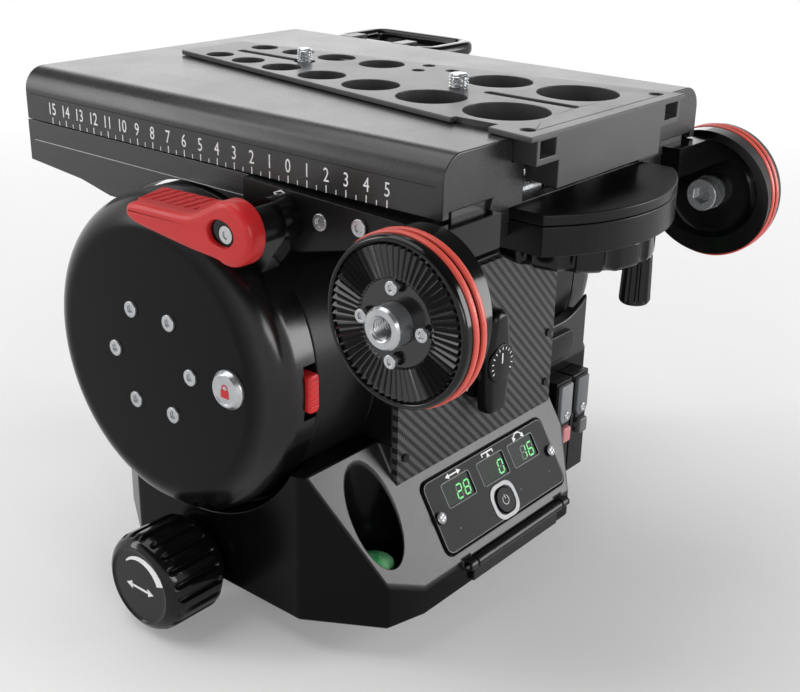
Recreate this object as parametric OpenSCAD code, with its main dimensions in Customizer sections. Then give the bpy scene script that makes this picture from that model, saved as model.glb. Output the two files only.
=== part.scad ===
// Fluid video head: drum tilt over a pan housing, sliding balance platform and wedge camera plate.
// Millimetres. +X is the operator's right, +Y the lens side and +Z up.
// The origin lies on the pan axis, at the underside of the base plate.

/* [Base and pan bearing] */
// Radius of the flat base plate
base_r = 75; // [70:1:85]
// Thickness of the base plate
base_h = 15; // [12:0.5:18]
// Radius of the tapped hole in the middle of the base
base_thread_r = 4.1; // [3:0.1:6]
// Diameter of the base's bolt circle
base_bolt_pcd = 120; // [112:1:134]
// Radius of each base bolt hole
base_bolt_r = 4.3; // [3:0.1:5.5]
// Outer radius of the pan spindle
spindle_r = 26; // [22:0.5:28]
// Radial thickness of the pan bearings and the drag cartridge
pan_ring_t = 10; // [8:0.5:12]
// Height of each pan bearing
bearing_h = 9; // [6:0.5:10]
// Height of the pan drag cartridge
pan_drag_h = 16; // [10:0.5:18]
// Running height of the pan housing over the base plate
pan_gap = 1; // [0.6:0.1:2]

/* [Pan housing] */
// Width across the pan housing
housing_w = 212; // [210:1:224]
// Distance from the pan axis to the rear face
housing_reach = 106.7; // [105:0.1:110]
// Distance from the pan axis to the front face
housing_front = 72; // [70:0.5:80]
// Height of the pan housing
housing_h = 70; // [69:0.5:74]
// Height of the upright foot of the rear face
slant_foot = 14; // [13:0.5:16]
// Angle of the slanted display face from the horizontal
slant_deg = 58.6; // [57:0.2:61]
// Radius of the bubble level's pocket
level_r = 12.5; // [11:0.5:13.5]
// Depth of the pocket's floor above the foot of the slanted face
level_lift = 5; // [3:0.5:8]
// Width of the battery bay
bay_w = 60; // [50:1:62]
// Width of each brake box
box_w = 14.5; // [13:0.5:16]
// Height of the brake boxes
box_h = 55.5; // [50:0.5:58]

/* [Display] */
// Width of the display panel
display_w = 94; // [88:1:98]
// Height of the display panel along the slanted face
display_h = 34; // [31:0.5:36]
// Thickness of the display panel
display_t = 3; // [2.5:0.1:4]
// Width of each display window
window_w = 20; // [14:0.5:22]
// Height of each display window
window_h = 11; // [8:0.5:12]
// Radius of the power button
power_r = 6; // [4:0.25:6.5]

/* [Tilt housing] */
// Height of the tilt axis over the pan housing
tilt_rise = 36.3; // [36:0.1:42]
// Radius of the tilt drums
drum_r = 71; // [66:0.5:71]
// Distance from the middle to each drum's open end
drum_end = 95.5; // [94:0.5:97]
// Width of the upright column
column_w = 119; // [112:1:122]
// Distance from the tilt axis to the column's rear face
column_back = 80.5; // [78:0.5:82]
// Thickness of the carbon panel
panel_t = 3; // [2:0.5:4]
// Radius of the tilt shaft
shaft_r = 20; // [16:0.5:22]
// How far the lens end tips up
tilt_up = 25; // [15:1:25]
// How far the lens end tips down
tilt_down = 60; // [30:1:60]
// Drop of the counterbalance knob below the tilt axis
balance_drop = 12; // [8:0.5:16]
// Length of the counterbalance knob's wings
wing_len = 50; // [40:1:52]

/* [Drum caps] */
// Thickness of the drum caps
cap_t = 25.5; // [24:0.5:28]
// Radius of the caps' rounded rim
cap_round = 15; // [8:0.5:15]
// Running gap between a drum and its cap
seam_gap = 0.5; // [0.4:0.1:1]
// Bolt circle of the cap screws
cap_screw_pcd = 48; // [44:1:56]
// Radius of the lock button
button_r = 8.5; // [6:0.25:9]
// Travel of the lock button
button_travel = 2.5; // [1:0.25:3]

/* [Cradle and platform] */
// Height of the cradle's underside over the tilt axis
cradle_rise = 67; // [66.5:0.1:70]
// Thickness of the cradle
cradle_t = 17.1; // [16:0.1:20]
// Width of the cradle's plate
cradle_w = 172; // [166:1:174]
// Width of the platform
platform_w = 188; // [184:1:196]
// Length of the platform
platform_len = 245; // [240:1:250]
// Distance from the tilt axis to the platform's rear end
platform_back = 129.9; // [129:0.1:133]
// Height of the platform's rails
platform_h = 21; // [18:0.5:24]
// Radius along the platform's top edges
platform_round = 10.4; // [5:0.2:11]
// Width across the bottom of the dovetail
dovetail_w = 131; // [120:1:136]
// Depth of the dovetail
dovetail_h = 6.1; // [5:0.1:7]
// Platform travel towards the operator
slide_back = 60; // [30:1:60]
// Platform travel towards the lens
slide_forward = 30; // [20:1:30]

/* [Camera plate] */
// Half width of the camera plate at its rear end
plate_rear_hw = 58; // [56:0.5:62]
// Half width of the camera plate at its front end
plate_front_hw = 20; // [18:0.5:24]
// Length of the camera plate
plate_len = 232; // [224:1:236]
// Overhang of the camera plate behind the platform
plate_over_rear = 11.6; // [8:0.2:16]
// Thickness of the camera plate's flange
plate_t = 2.2; // [2:0.1:4]
// Radius of the largest lightening hole
light_r = 17.5; // [14:0.5:18]
// Shrink of each next lightening hole
light_ratio = 0.85; // [0.8:0.01:0.88]
// Radius of the rear camera screw
camera_screw_r = 3.15; // [2.5:0.05:4]
// Radius of the front camera screw
front_screw_r = 4.75; // [4:0.05:5]
// Height of the camera screws over the plate
camera_screw_h = 4.5; // [4:0.5:12]

/* [Pan bar rosettes] */
// Distance from each drum's open end out to the rosette's toothed face
rosette_out = 28; // [25.5:0.5:32.5]
// Distance of the rosettes behind the tilt axis
rosette_back = 132.5; // [130:0.5:138]
// Height of the rosettes over the tilt axis
rosette_rise = 52.7; // [51:0.1:54]
// Outer radius of the rosette cups
cup_r = 31; // [28:0.5:32]
// Number of teeth on a rosette
rosette_teeth = 60; // [36:1:72]
// Radius of the tapped hole for the pan bar bolt
bar_thread_r = 4.25; // [3:0.05:5]
// Outer radius of the threaded bush
bush_r = 8; // [7:0.25:9]
// Length of the bush that stands out of the rosette
bush_out = 6.2; // [4:0.2:10]

/* [Crank drive] */
// Distance of the crank behind the tilt axis
crank_back = 125.5; // [124.5:0.1:127.5]
// Radius of the crank knob
crank_r = 34.5; // [31:0.5:36]
// Height of the crank knob
crank_h = 12; // [9:0.2:14]
// Distance from the crank's axis to its grip
grip_throw = 28.5; // [24:0.5:28.5]
// Length of the crank grip
grip_len = 22.5; // [18:0.5:26]
// Gear module
gear_m = 1.5; // [1.2:0.05:1.6]
// Teeth on the crank gear
crank_teeth = 40; // [36:4:40]
// Teeth on the pinion
pinion_teeth = 12; // [12:4:16]
// Radius of the gear cover's rear arc
cover_r = 75; // [72:0.5:80]
// Distance from the tilt axis to the rear of the gear cover
cover_back = 162.5; // [161:0.5:166]

/* [Knobs and levers] */
// Radius of the drag knobs
drag_knob_r = 23; // [18:0.5:23]
// Length of the drag knobs
drag_knob_len = 34; // [26:0.5:36]
// Length of the lock lever from its pivot to its tip
lever_len = 58; // [48:0.5:62]
// Thickness of the lock lever
lever_t = 8.5; // [6:0.5:10]
// Length of the release bail
bail_len = 66; // [56:1:72]
// Reach of the release bail from its hinge
bail_reach = 40; // [34:1:44]
// Radius of the release bail's bar
bail_r = 4; // [3:0.25:4.5]

/* [Fits] */
// Running clearance of shafts in their holes
run_gap = 0.05; // [0.02:0.01:0.08]
// Clearance of pieces that seat in a bore
seat_gap = 0.02; // [0.01:0.01:0.05]
// Gap between faces that slide past each other
slide_gap = 0.3; // [0.2:0.05:0.4]
// Gap between curved faces of fixed neighbours
lay_gap = 0.3; // [0.2:0.05:0.4]
// Backlash of the gear teeth
backlash = 0.35; // [0.25:0.05:0.4]

/* [Hidden] */
$fn = 96;

// Heights, from the base upwards
housing_z0 = base_h + pan_gap;
housing_top = housing_z0 + housing_h;
foot_z = housing_z0 + slant_foot;
tilt_z = housing_top + tilt_rise;
cradle_z0 = tilt_z + cradle_rise;
cradle_top = cradle_z0 + cradle_t;
rail_z0 = cradle_top + slide_gap;
platform_top = rail_z0 + platform_h;
plate_z0 = platform_top + slide_gap;
plate_top = plate_z0 + plate_t;

// Pan bearing stack
flange_r = spindle_r + 14;
flange_h = 6;
recess_r = flange_r + 10;
recess_top = housing_z0 + 11;
pan_bore_r = spindle_r + pan_ring_t;
stack_gap = 0.5;
bearing_z1 = recess_top + 1;
cartridge_z = bearing_z1 + bearing_h + stack_gap;
bearing_z2 = cartridge_z + pan_drag_h + stack_gap;
nut_z = bearing_z2 + bearing_h + stack_gap;
nut_h = 6;
nut_rim = 7;
spindle_wall = 12;
spindle_top = nut_z + nut_h;

// Screws
bolt_r = 2.5;
bolt_head_r = 4.2;
bolt_head_h = 4;
bolt_depth = 6;
bolt_in = 7;
small_bolt_r = 1.5;
arm_bolt_r = 2;
arm_bolt_len = 8;
arm_head_r = 3.4;
arm_head_h = 1.2;
lever_head_h = 0.8;

// Plan of the pan housing
housing_hw = housing_w / 2;
column_hw = column_w / 2;
box_gap = 0.8;
box_edge = 10.6;
box_clear = 6.1;
box_x0 = max(housing_hw - box_edge - 2 * box_w - box_gap, column_hw + box_clear);
corner_y = housing_reach - 38.2;
front_corner_y = housing_front - 36;
corner_in = 20;
corner_out = 5;
corner_x = 39;
cap_clear = 3;
wall_t = 1.5;
box_wall_y = drum_r + cap_clear + wall_t;
notch_x = box_x0 - 3.6;
notch_cut = [15, 16];
level_pos = [-housing_hw + 28, -housing_reach + 20.2];
level_z0 = foot_z + level_lift;
level_vial_r = level_r - 2.5;
level_vial_h = 7;

// Places along the slanted face, measured up from its foot
display_v = 22.5;
window_v = display_v + 7;
power_v = display_v - 8.7;
display_recess = display_t - 1;
pocket_depth = 11;
pocket_w = display_w - 14;
pocket_h = display_h - 3;
window_xs = [-25.6, 1, 25.7];
display_screw_x = display_w / 2 - 3.3;
board_t = 1.6;
board_in = 1;
display_round = 4;
display_bolt_len = 11;
display_head_r = 2.8;
display_head_h = 1.2;
window_drop = 0.6;

// Battery door
door_pin_r = 1.2;
door_knuckle_r = 2.4;
door_axis_y = -housing_reach - door_knuckle_r - 0.4;
door_axis_z = foot_z - 1.5;
door_hw = bay_w / 2 + 4;
door_lug = 6;
bay_z0 = housing_z0 + 3;
bay_h = 8;
bay_depth = 28;

// Brake boxes
box_depth = 9;
box_y0 = -box_wall_y - box_depth;
box_z0 = housing_z0 + 3;
slider_w = 7;
slider_h = 12;
slider_travel = 6;
slot_depth = 6;
slot_play = 1;
slider_out = 2.5;
slider_drop = 18.3;
slider_z = box_z0 + box_h - slider_drop;
wall_x1 = housing_hw - 2;
wall_top = housing_top + 16;
wall_tip = housing_top + 26;
wall_depth = 10;
flare_w = 24;
flare_r = 36;

// Column and drums
column_front = 60;
column_r = cradle_rise - 2;
panel_top = tilt_z + (column_r - (column_back + panel_t) * sin(tilt_up)) / cos(tilt_up);
bearing_r = shaft_r + 7;
bearing_x = column_hw + 6;
balance_depth = 32;
chamber_wall = 9;
chamber_r = drum_r - chamber_wall;
bearing_in = 6;
drag_lid = 10;
drag_end = drum_end - drag_lid;
fin_t = 2;
fin_pitch = (drag_end - bearing_x - fin_t) / 2;
groove_w = fin_pitch * 2 / 3;
groove_rim = 6;
disc_rim = 10;
stator_hub = 8;
rotor_hub = 6;
spring_lid = 12;
balance_z = tilt_z - balance_drop;
balance_shaft_r = 5;
panel_head_r = 2;
panel_head_h = 1;
panel_low = foot_z + (housing_reach - column_back - panel_t) * tan(slant_deg);
panel_edge = [5, 8, 4, 12];
dial_r = 19;
dial_t = 1.2;

// Caps, arms and lever
cap_x0 = drum_end + seam_gap;
cap_x1 = cap_x0 + cap_t;
relief_r = drum_r + 1.5;
pivot = [-57.2, cradle_rise + 2.9];
ear_r = 9.5;
ear_drop = 14;
boss_r = 7;
post_r = 5;
lever_dish = 1.5;
lever_x0 = cap_x1 + 0.5;
lever_x1 = lever_x0 + lever_t;
button_pos = [-46.9, 1.6];
button_depth = 14;
button_out = 2.8;
cap_head_r = 3.6;
cap_head_sink = 0.6;
cap_head_h = 1.6;
cap_bolt_in = 5;
shaft_flange_t = 7;
shaft_rim = 8;
shaft_wall = 12;
latch_w = 6;
latch_h = 17;
latch_depth = 10;
latch_travel = 3;
latch_y = -drum_r - 1.2;

// Cradle and its neighbours
cradle_hw = cradle_w / 2;
platform_hw = platform_w / 2;
platform_y0 = -platform_back;
platform_y1 = platform_len - platform_back;
cradle_y0 = platform_y0 + 2.1;
cradle_y1 = platform_y1;
lip_h = 2.5;
lip_w = 4;
skirt_top = rail_z0 - lip_h - slide_gap;
skirt_y0 = -32.5;
skirt_drop = [19, 26];
skirt_knee = 57.5;
arm_out = 4;
arm_seat = 2;
arm_x1 = max(platform_hw + arm_out, cap_x0 + arm_seat);
arm_back = -120.5;
arm_screws = [[-75.5, 4.7], [-95.1, 6.5]];
dovetail_hw = dovetail_w / 2;
dovetail_in = 1.8;
dovetail_z = rail_z0 - dovetail_h;

// Wedge channel and camera plate
plate_y0 = platform_y0 - plate_over_rear;
plate_y1 = plate_y0 + plate_len;
plate_taper = (plate_rear_hw - plate_front_hw) / plate_len;
plate_over = 4;
side_gap = 0.4;
rail_in = 12;
foot_in = 19;
foot_y1 = plate_y1 - 37;
shelf_z = platform_top - 9.4;
floor_top = rail_z0 + 0.9;
light_web = 7;
light_count = 7;
light_y0 = plate_y0 + 33.5;
light_hw = [26, 15];
small_hole_r = 3;
small_holes = [[20, 8], [30, -4], [33, 12]];
corner_hole = [10, 8.5];
slot_r = 2.4;
slot_len = 42;
rear_slot = [14, 27];
end_slot = [46.7, 5.2, 14];
plate_notch = [10, 22, 20];
screw_ys = [plate_y0 + 77, plate_y0 + 168];
screw_rs = [camera_screw_r, front_screw_r];
screw_head_r = 7;
screw_head_h = 4;
screw_seat_z = floor_top + 5.6;
screw_neck = 0.4;

// Rosettes
rosette_x = drum_end + rosette_out;
rosette_y = -rosette_back;
rosette_z = tilt_z + rosette_rise;
rosette_r = cup_r - 3;
rosette_t = 4.5;
cup_x1 = rosette_x - 2;
cup_x0 = arm_x1 + 0.5;
cup_wall = 4;
cup_round = 9;
cup_floor_x = rosette_x - 11.5;
cup_open_x = rosette_x - 16.5;
cup_lean = 9.5;
cup_turn = 3.7;
tooth_r0 = 16.5;
rosette_screw_pcd = 27;
tooth_h = 1.6;
tooth_hw = [0.75, 0.15];
rosette_head_r = 2.6;
rosette_head_h = 1.4;
bracket_x0 = dovetail_hw + 2.5;
bracket_t = 9;
bracket_h = 13.5;
bracket_in = 2;
bush_in = 4;
bush_x0 = cup_floor_x - bush_in;
bar_bolt_r = 3;
bar_bolt_len = 5;
bar_bolt_head_r = 7.5;
bush_floor = 6;
ring_w = 2.6;
ring_t = 1.5;
ring_xs = [cup_x1 - 9.2, cup_x1 - 5];

// Crank drive
crank_y = -crank_back;
gear_z0 = cradle_z0 - 3.8;
gear_z1 = cradle_z0 - 0.3;
crank_pr = gear_m * crank_teeth / 2;
pinion_pr = gear_m * pinion_teeth / 2;
pinion_y = crank_y + crank_pr + pinion_pr;
gear_add = 0.8 * gear_m;
gear_ded = 1.1 * gear_m;
press_deg = 20;
cover_z0 = gear_z0 - 2;
cover_floor = gear_z0 - 0.7;
cover_rise = 6.2;
cover_top = cradle_z0 + cover_rise;
plate_seam = 0.2;
crank_plate_rise = 10.8;
crank_plate_top = cradle_z0 + crank_plate_rise;
cover_y = cover_r - cover_back;
cover_hw = 50;
cover_reach = 35;
cover_y1 = crank_y + cover_reach;
crank_z1 = cover_z0 - 0.3;
crank_z0 = crank_z1 - crank_h;
crank_shaft_r = 5;
pinion_pin_r = 3;
pinion_drop = 0.4;
pin_bridge = [8, 7];
grip_pin_r = 2.5;
grip_deg = 36;
grip_pos = [grip_throw * sin(grip_deg), crank_y - grip_throw * cos(grip_deg)];
grip_r = [6.6, 5.9];
rack_x1 = -pinion_pr;
rack_x0 = rack_x1 - 8;
rack_z0 = dovetail_z + 0.2;
rack_z1 = rail_z0 - 1.1;
rack_y0 = pinion_y - slide_forward - 3;
rack_y1 = pinion_y + slide_back + 3;

// Knobs
knob_z = housing_z0 + 8;
knob_y = -6.5;
knob_shaft_r = 6;
knob_gap = 2;
knob_flutes = 14;
knob_collar = [3, 4];
knob_bevel = [2, 2.2];
knob_dish = [6, 0.8];
flute_r = 2.4;
flute_out = 0.6;
wheel_flutes = 24;
wheel_flute_r = 1.8;
wheel_flute_out = 0.7;
wing_w = 14;
wing_t = 7.5;
wing_hub_r = 11;
wing_out = 11;
bail_axis = [platform_hw + 7, platform_top - 7];
bail_y0 = 33.5;
bail_bend = 9;
ear_w = 8;
clamp_screw_r = 3;
clamp_screw_z = rail_z0 + 5;
clamp_screw_y = 5;
clamp_screw_in = 16;

// Round bars along the three axes, from one end to the other
module xcyl(r, x0, x1, y = 0, z = 0) {
  translate([x0, y, z]) rotate([0, 90, 0]) cylinder(r = r, h = x1 - x0);
}
module ycyl(r, y0, y1, x = 0, z = 0) {
  translate([x, y1, z]) rotate([90, 0, 0]) cylinder(r = r, h = y1 - y0);
}
module zcyl(r, z0, z1, x = 0, y = 0) { translate([x, y, z0]) cylinder(r = r, h = z1 - z0); }

// A box between two corners
module block(x0, x1, y0, y1, z0, z1) { translate([x0, y0, z0]) cube([x1 - x0, y1 - y0, z1 - z0]); }

// An outline drawn in Y and Z, carried along X
module along_x(x0, x1) { translate([x0, 0, 0]) rotate([90, 0, 90]) linear_extrude(x1 - x0) children(); }

// An outline drawn in X and Z, carried along Y
module along_y(y0, y1) { translate([0, y1, 0]) rotate([90, 0, 0]) linear_extrude(y1 - y0) children(); }

// Both hands of a piece that is drawn on the +X side
module both_sides() {
  children();
  mirror([1, 0, 0]) children();
}

// The slanted face's own frame: Y runs up the slope and Z out of the face
module on_slant() { translate([0, -housing_reach, foot_z]) rotate([slant_deg, 0, 0]) children(); }

// Everything outside the slanted face
module outside_slant() {
  on_slant() translate([-housing_w, -housing_w, 0]) cube([2 * housing_w, 3 * housing_w, housing_w]);
}

// A rectangle with round corners, centred
module rounded(w, h, r) {
  square([w - 2 * r, h], center = true);
  square([w, h - 2 * r], center = true);
  for (x = [-1, 1], y = [-1, 1]) translate([x * (w / 2 - r), y * (h / 2 - r)]) circle(r, $fn = 32);
}

// A socket screw along +Z with its head's underside at zero
module socket_screw(r, length, head_r, head_h) {
  difference() {
    union() {
      zcyl(r, -length, 0.01);
      zcyl(head_r, 0, head_h);
    }
    translate([0, 0, head_h * 0.4]) cylinder(r = head_r * 0.55, h = head_h, $fn = 6);
  }
}

// A disc along +Z whose upper edge is rounded
module domed(r, h, edge) rotate_extrude() {
  square([r, h - edge]);
  square([r - edge, h]);
  intersection() {
    translate([r - edge, h - edge]) circle(edge);
    square([r, h]);
  }
}

// The half width of the camera plate at a place along it
function plate_hw(y) = plate_rear_hw - (y - plate_y0) * plate_taper;

// A straight-sided wedge that keeps a set distance inside the camera plate's edges
module wedge(inset, y0, y1, z0, z1) {
  a = plate_hw(y0) - inset;
  b = plate_hw(y1) - inset;
  translate([0, 0, z0]) linear_extrude(z1 - z0) polygon([[-a, y0], [a, y0], [b, y1], [-b, y1]]);
}

// Half the angle of an involute tooth at radius r
function involute(a) = tan(a) * 180 / PI - a;
function tooth_half(r, pr, thick) =
  let (base = pr * cos(press_deg), a = acos(min(1, base / max(r, base))))
  thick / (2 * pr) * 180 / PI + involute(press_deg) - involute(a);

// A spur gear's outline with one tooth centred on the given direction
module gear_outline(teeth, turn) {
  pr = gear_m * teeth / 2;
  thick = PI * gear_m / 2 - backlash;
  radii = [pr - gear_ded, pr - gear_ded / 2, pr, pr + gear_add];
  polygon([
    for (i = [0:teeth - 1], k = [0:7])
      let (r = radii[k < 4 ? k : 7 - k], s = k < 4 ? -1 : 1,
           a = turn + i * 360 / teeth + s * tooth_half(r, pr, thick))
      [r * cos(a), r * sin(a)]
  ]);
}

// Base plate with a centre thread and a bolt circle
module base_plate() color("dimgray") difference() {
  zcyl(base_r, 0, base_h);
  zcyl(base_thread_r, -1, base_h + 1);
  for (a = [45:90:315]) rotate(a) zcyl(base_bolt_r, -1, base_h + 1, base_bolt_pcd / 2);
  for (a = [0:60:300]) rotate(a)
    zcyl(bolt_r + seat_gap, base_h - bolt_depth - 1, base_h + 1, spindle_r + bolt_in);
}

// Hollow spindle that the head pans on
module pan_spindle() color("silver") difference() {
  union() {
    zcyl(flange_r, base_h, base_h + flange_h);
    zcyl(spindle_r, base_h, spindle_top);
  }
  zcyl(spindle_r - spindle_wall, base_h - 1, spindle_top + 1);
  for (a = [0:60:300]) rotate(a)
    zcyl(bolt_r + seat_gap, base_h - 1, base_h + flange_h + 1, spindle_r + bolt_in);
}

module spindle_screws() color("silver")
  for (a = [0:60:300]) rotate(a) translate([spindle_r + bolt_in, 0, base_h + flange_h])
    socket_screw(bolt_r, flange_h + bolt_depth, bolt_head_r, bolt_head_h);

module spindle_nut() color("silver") difference() {
  zcyl(spindle_r + nut_rim, nut_z, nut_z + nut_h);
  zcyl(spindle_r + seat_gap, nut_z - 1, nut_z + nut_h + 1);
}

// Plan of the pan housing, cut away at the right rear for the brake boxes
module housing_plan() polygon([
  [-housing_hw, -corner_y], [-housing_hw + corner_in, -housing_reach + corner_out],
  [-housing_hw + corner_x, -housing_reach], [notch_x - notch_cut[0], -housing_reach],
  [notch_x, -housing_reach + notch_cut[1]], [notch_x, -box_wall_y], [housing_hw, -box_wall_y],
  [housing_hw, front_corner_y], [housing_hw - corner_in, housing_front - corner_out],
  [housing_hw - corner_x, housing_front], [-housing_hw + corner_x, housing_front],
  [-housing_hw + corner_in, housing_front - corner_out], [-housing_hw, front_corner_y]
]);

// Room for the drums and the turning caps
module drum_room() both_sides() {
  xcyl(drum_r + lay_gap, column_hw - 0.01, housing_w, 0, tilt_z);
  xcyl(drum_r + cap_clear, drum_end, housing_w, 0, tilt_z);
}

// Upright wall behind the brake boxes, its top edge swept up towards the side
module brake_wall() difference() {
  along_y(-box_wall_y, -box_wall_y + wall_depth) difference() {
    translate([notch_x, foot_z]) square([wall_x1 - notch_x, wall_tip - foot_z]);
    translate([wall_x1 - flare_w, wall_top + flare_r]) circle(flare_r);
    translate([notch_x - 1, wall_top]) square([wall_x1 - flare_w - notch_x + 1, wall_tip]);
  }
  drum_room();
}

// Casting that turns on the spindle and holds the display, level, battery and drag knob
module pan_housing() color("#151515") difference() {
  union() {
    difference() {
      translate([0, 0, housing_z0]) linear_extrude(housing_h) housing_plan();
      outside_slant();
      drum_room();
    }
    brake_wall();
    block(-column_hw, column_hw, -column_back, -column_back + 20, foot_z + 20, housing_top);
    both_sides() {
      xcyl(door_knuckle_r, door_hw + slide_gap, door_hw + door_lug, door_axis_y, door_axis_z);
      block(door_hw + slide_gap, door_hw + door_lug, door_axis_y, -housing_reach + 2,
            door_axis_z - door_knuckle_r, door_axis_z + door_knuckle_r);
    }
  }
  zcyl(recess_r, housing_z0 - 1, recess_top);
  zcyl(pan_bore_r + seat_gap, recess_top - 1, spindle_top + 2);
  on_slant() {
    translate([0, display_v, -display_recess]) linear_extrude(20)
      rounded(display_w + 2 * slide_gap, display_h + 2 * slide_gap, display_round);
    translate([-pocket_w / 2, display_v - pocket_h / 2, -pocket_depth]) cube([pocket_w, pocket_h, 20]);
    for (s = [-1, 1]) translate([s * display_screw_x, display_v, -display_bolt_len - 1])
      cylinder(r = small_bolt_r + seat_gap, h = display_bolt_len + 3);
  }
  zcyl(level_r, level_z0, housing_top + 1, level_pos[0], level_pos[1]);
  block(-bay_w / 2, bay_w / 2, -housing_reach - 1, -housing_reach + bay_depth, bay_z0, bay_z0 + bay_h);
  xcyl(door_pin_r + seat_gap, -door_hw - door_lug - 1, door_hw + door_lug + 1, door_axis_y, door_axis_z);
  xcyl(knob_shaft_r + run_gap, -housing_hw - 1, -recess_r - 6, knob_y, knob_z);
}

module pan_bearings() color("silver") for (z = [bearing_z1, bearing_z2]) difference() {
  zcyl(pan_bore_r, z, z + bearing_h);
  zcyl(spindle_r + run_gap, z - 1, z + bearing_h + 1);
}

module pan_drag_cartridge() color("goldenrod") difference() {
  zcyl(pan_bore_r, cartridge_z, cartridge_z + pan_drag_h);
  zcyl(spindle_r + slide_gap, cartridge_z - 1, cartridge_z + pan_drag_h + 1);
}

// Side outline of the column, clear of the cradle's underside over the whole tilt range
module column_outline() intersection() {
  translate([-column_back, housing_top - tilt_z])
    square([column_back + column_front, tilt_rise + cradle_rise]);
  union() {
    circle(column_r);
    polygon([
      [0, 0], column_r * [-sin(tilt_up), cos(tilt_up)],
      [-column_back, (column_r - column_back * sin(tilt_up)) / cos(tilt_up)],
      [-column_back, -tilt_z], [column_front, -tilt_z],
      [column_front, (column_r - column_front * sin(tilt_down)) / cos(tilt_down)],
      column_r * [sin(tilt_down), cos(tilt_down)]
    ]);
  }
}

// Column and drums, bored for the tilt shaft and opened out for the drag and the spring
module tilt_housing() color("#1a1a1a") translate([0, 0, tilt_z]) difference() {
  union() {
    along_x(-column_hw, column_hw) column_outline();
    both_sides() xcyl(drum_r, column_hw - 0.01, drum_end);
  }
  xcyl(shaft_r + 2, -drum_end - 1, drum_end + 1);
  both_sides() {
    xcyl(bearing_r + seat_gap, column_hw - bearing_in, bearing_x + 1);
    xcyl(chamber_r + seat_gap, bearing_x, drum_end + 1);
  }
  ycyl(balance_shaft_r + run_gap, -column_back - 1, -column_back + balance_depth + 2, 0, -balance_drop);
}

module tilt_bearings() color("silver") translate([0, 0, tilt_z]) both_sides() difference() {
  xcyl(bearing_r, column_hw - bearing_in, bearing_x);
  xcyl(shaft_r + run_gap, column_hw - bearing_in - 1, bearing_x + 1);
}

// Fixed fins of the tilt drag, in the left drum
module tilt_drag_stator() color("goldenrod") translate([0, 0, tilt_z]) difference() {
  xcyl(chamber_r, -drag_end, -bearing_x);
  for (i = [0, 1]) translate([-bearing_x - fin_t - i * fin_pitch, 0, 0])
    xcyl(chamber_r - groove_rim, -groove_w, 0);
  xcyl(shaft_r + stator_hub, -drum_end, -bearing_x + 1);
}

module spring_cassette() color("dimgray") translate([0, 0, tilt_z]) difference() {
  xcyl(chamber_r, bearing_x, drum_end - spring_lid);
  xcyl(shaft_r + slide_gap, bearing_x - 1, drum_end);
}

// Carbon fibre panel on the column's rear face
module carbon_panel() color("#3a3a3e") difference() {
  block(-column_hw, column_hw, -column_back - panel_t, -column_back, foot_z, panel_top);
  on_slant() translate([-housing_w, -housing_w, -housing_w]) cube([2 * housing_w, 3 * housing_w, housing_w]);
  ycyl(balance_shaft_r + 1, -column_back - panel_t - 1, -column_back + 1, 0, balance_z);
}

// Small screws of the carbon panel and the display panel
module panel_screws() color("silver") {
  for (x = [-1, 1], z = [panel_top - panel_edge[1], balance_z - panel_edge[2], panel_low + panel_edge[3]])
    translate([x * (column_hw - panel_edge[0]), -column_back - panel_t, z]) rotate([90, 0, 0])
      zcyl(panel_head_r, 0, panel_head_h);
  on_slant() for (s = [-1, 1]) translate([s * display_screw_x, display_v, display_t - display_recess])
    socket_screw(small_bolt_r, display_bolt_len, display_head_r, display_head_h);
}

module dial_plate() color("#101010") difference() {
  ycyl(dial_r, -column_back - panel_t - dial_t, -column_back - panel_t, 0, balance_z);
  ycyl(balance_shaft_r + 1, -column_back - panel_t - 2, -column_back, 0, balance_z);
}

module display_panel() color("#26272b") on_slant() difference() {
  translate([0, display_v, -display_recess]) linear_extrude(display_t)
    rounded(display_w, display_h, display_round);
  for (x = window_xs)
    translate([x - window_w / 2, window_v - window_h / 2, -5]) cube([window_w, window_h, 10]);
  translate([0, power_v, -5]) cylinder(r = power_r + slide_gap, h = 10);
  for (s = [-1, 1]) translate([s * display_screw_x, display_v, -5])
    cylinder(r = small_bolt_r + seat_gap, h = 10);
}

module display_windows() color("darkgreen") on_slant() for (x = window_xs)
  translate([x - window_w / 2 + seat_gap, window_v - window_h / 2 + seat_gap, -display_recess])
    cube([window_w - 2 * seat_gap, window_h - 2 * seat_gap, display_t - window_drop]);

// Circuit board on the floor of the pocket, with its digit blocks behind the windows
module display_board() color("seagreen") on_slant() {
  translate([-pocket_w / 2 + board_in, display_v - pocket_h / 2 + board_in, -pocket_depth])
    cube([pocket_w - 2 * board_in, pocket_h - 2 * board_in, board_t]);
  for (x = window_xs)
    translate([x - window_w / 2 + board_in, window_v - window_h / 2 + board_in, -pocket_depth])
      cube([window_w - 2 * board_in, window_h - 2 * board_in, pocket_depth - display_recess]);
}

module level_vial() color("limegreen") rotate_level() union() {
  cylinder(r = level_r - seat_gap, h = 2);
  cylinder(r = level_vial_r, h = level_vial_h - 2);
  translate([0, 0, level_vial_h - 2]) cylinder(r1 = level_vial_r, r2 = level_vial_r - 2, h = 2);
}
module rotate_level() { translate([level_pos[0], level_pos[1], level_z0]) children(); }

module battery() color("orange")
  block(-bay_w / 2 + 1, bay_w / 2 - 1, -housing_reach + 3, -housing_reach + bay_depth - 1,
        bay_z0, bay_z0 + bay_h - 1);

module hinge_pin() color("silver")
  xcyl(door_pin_r, -door_hw - door_lug, door_hw + door_lug, door_axis_y, door_axis_z);

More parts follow.
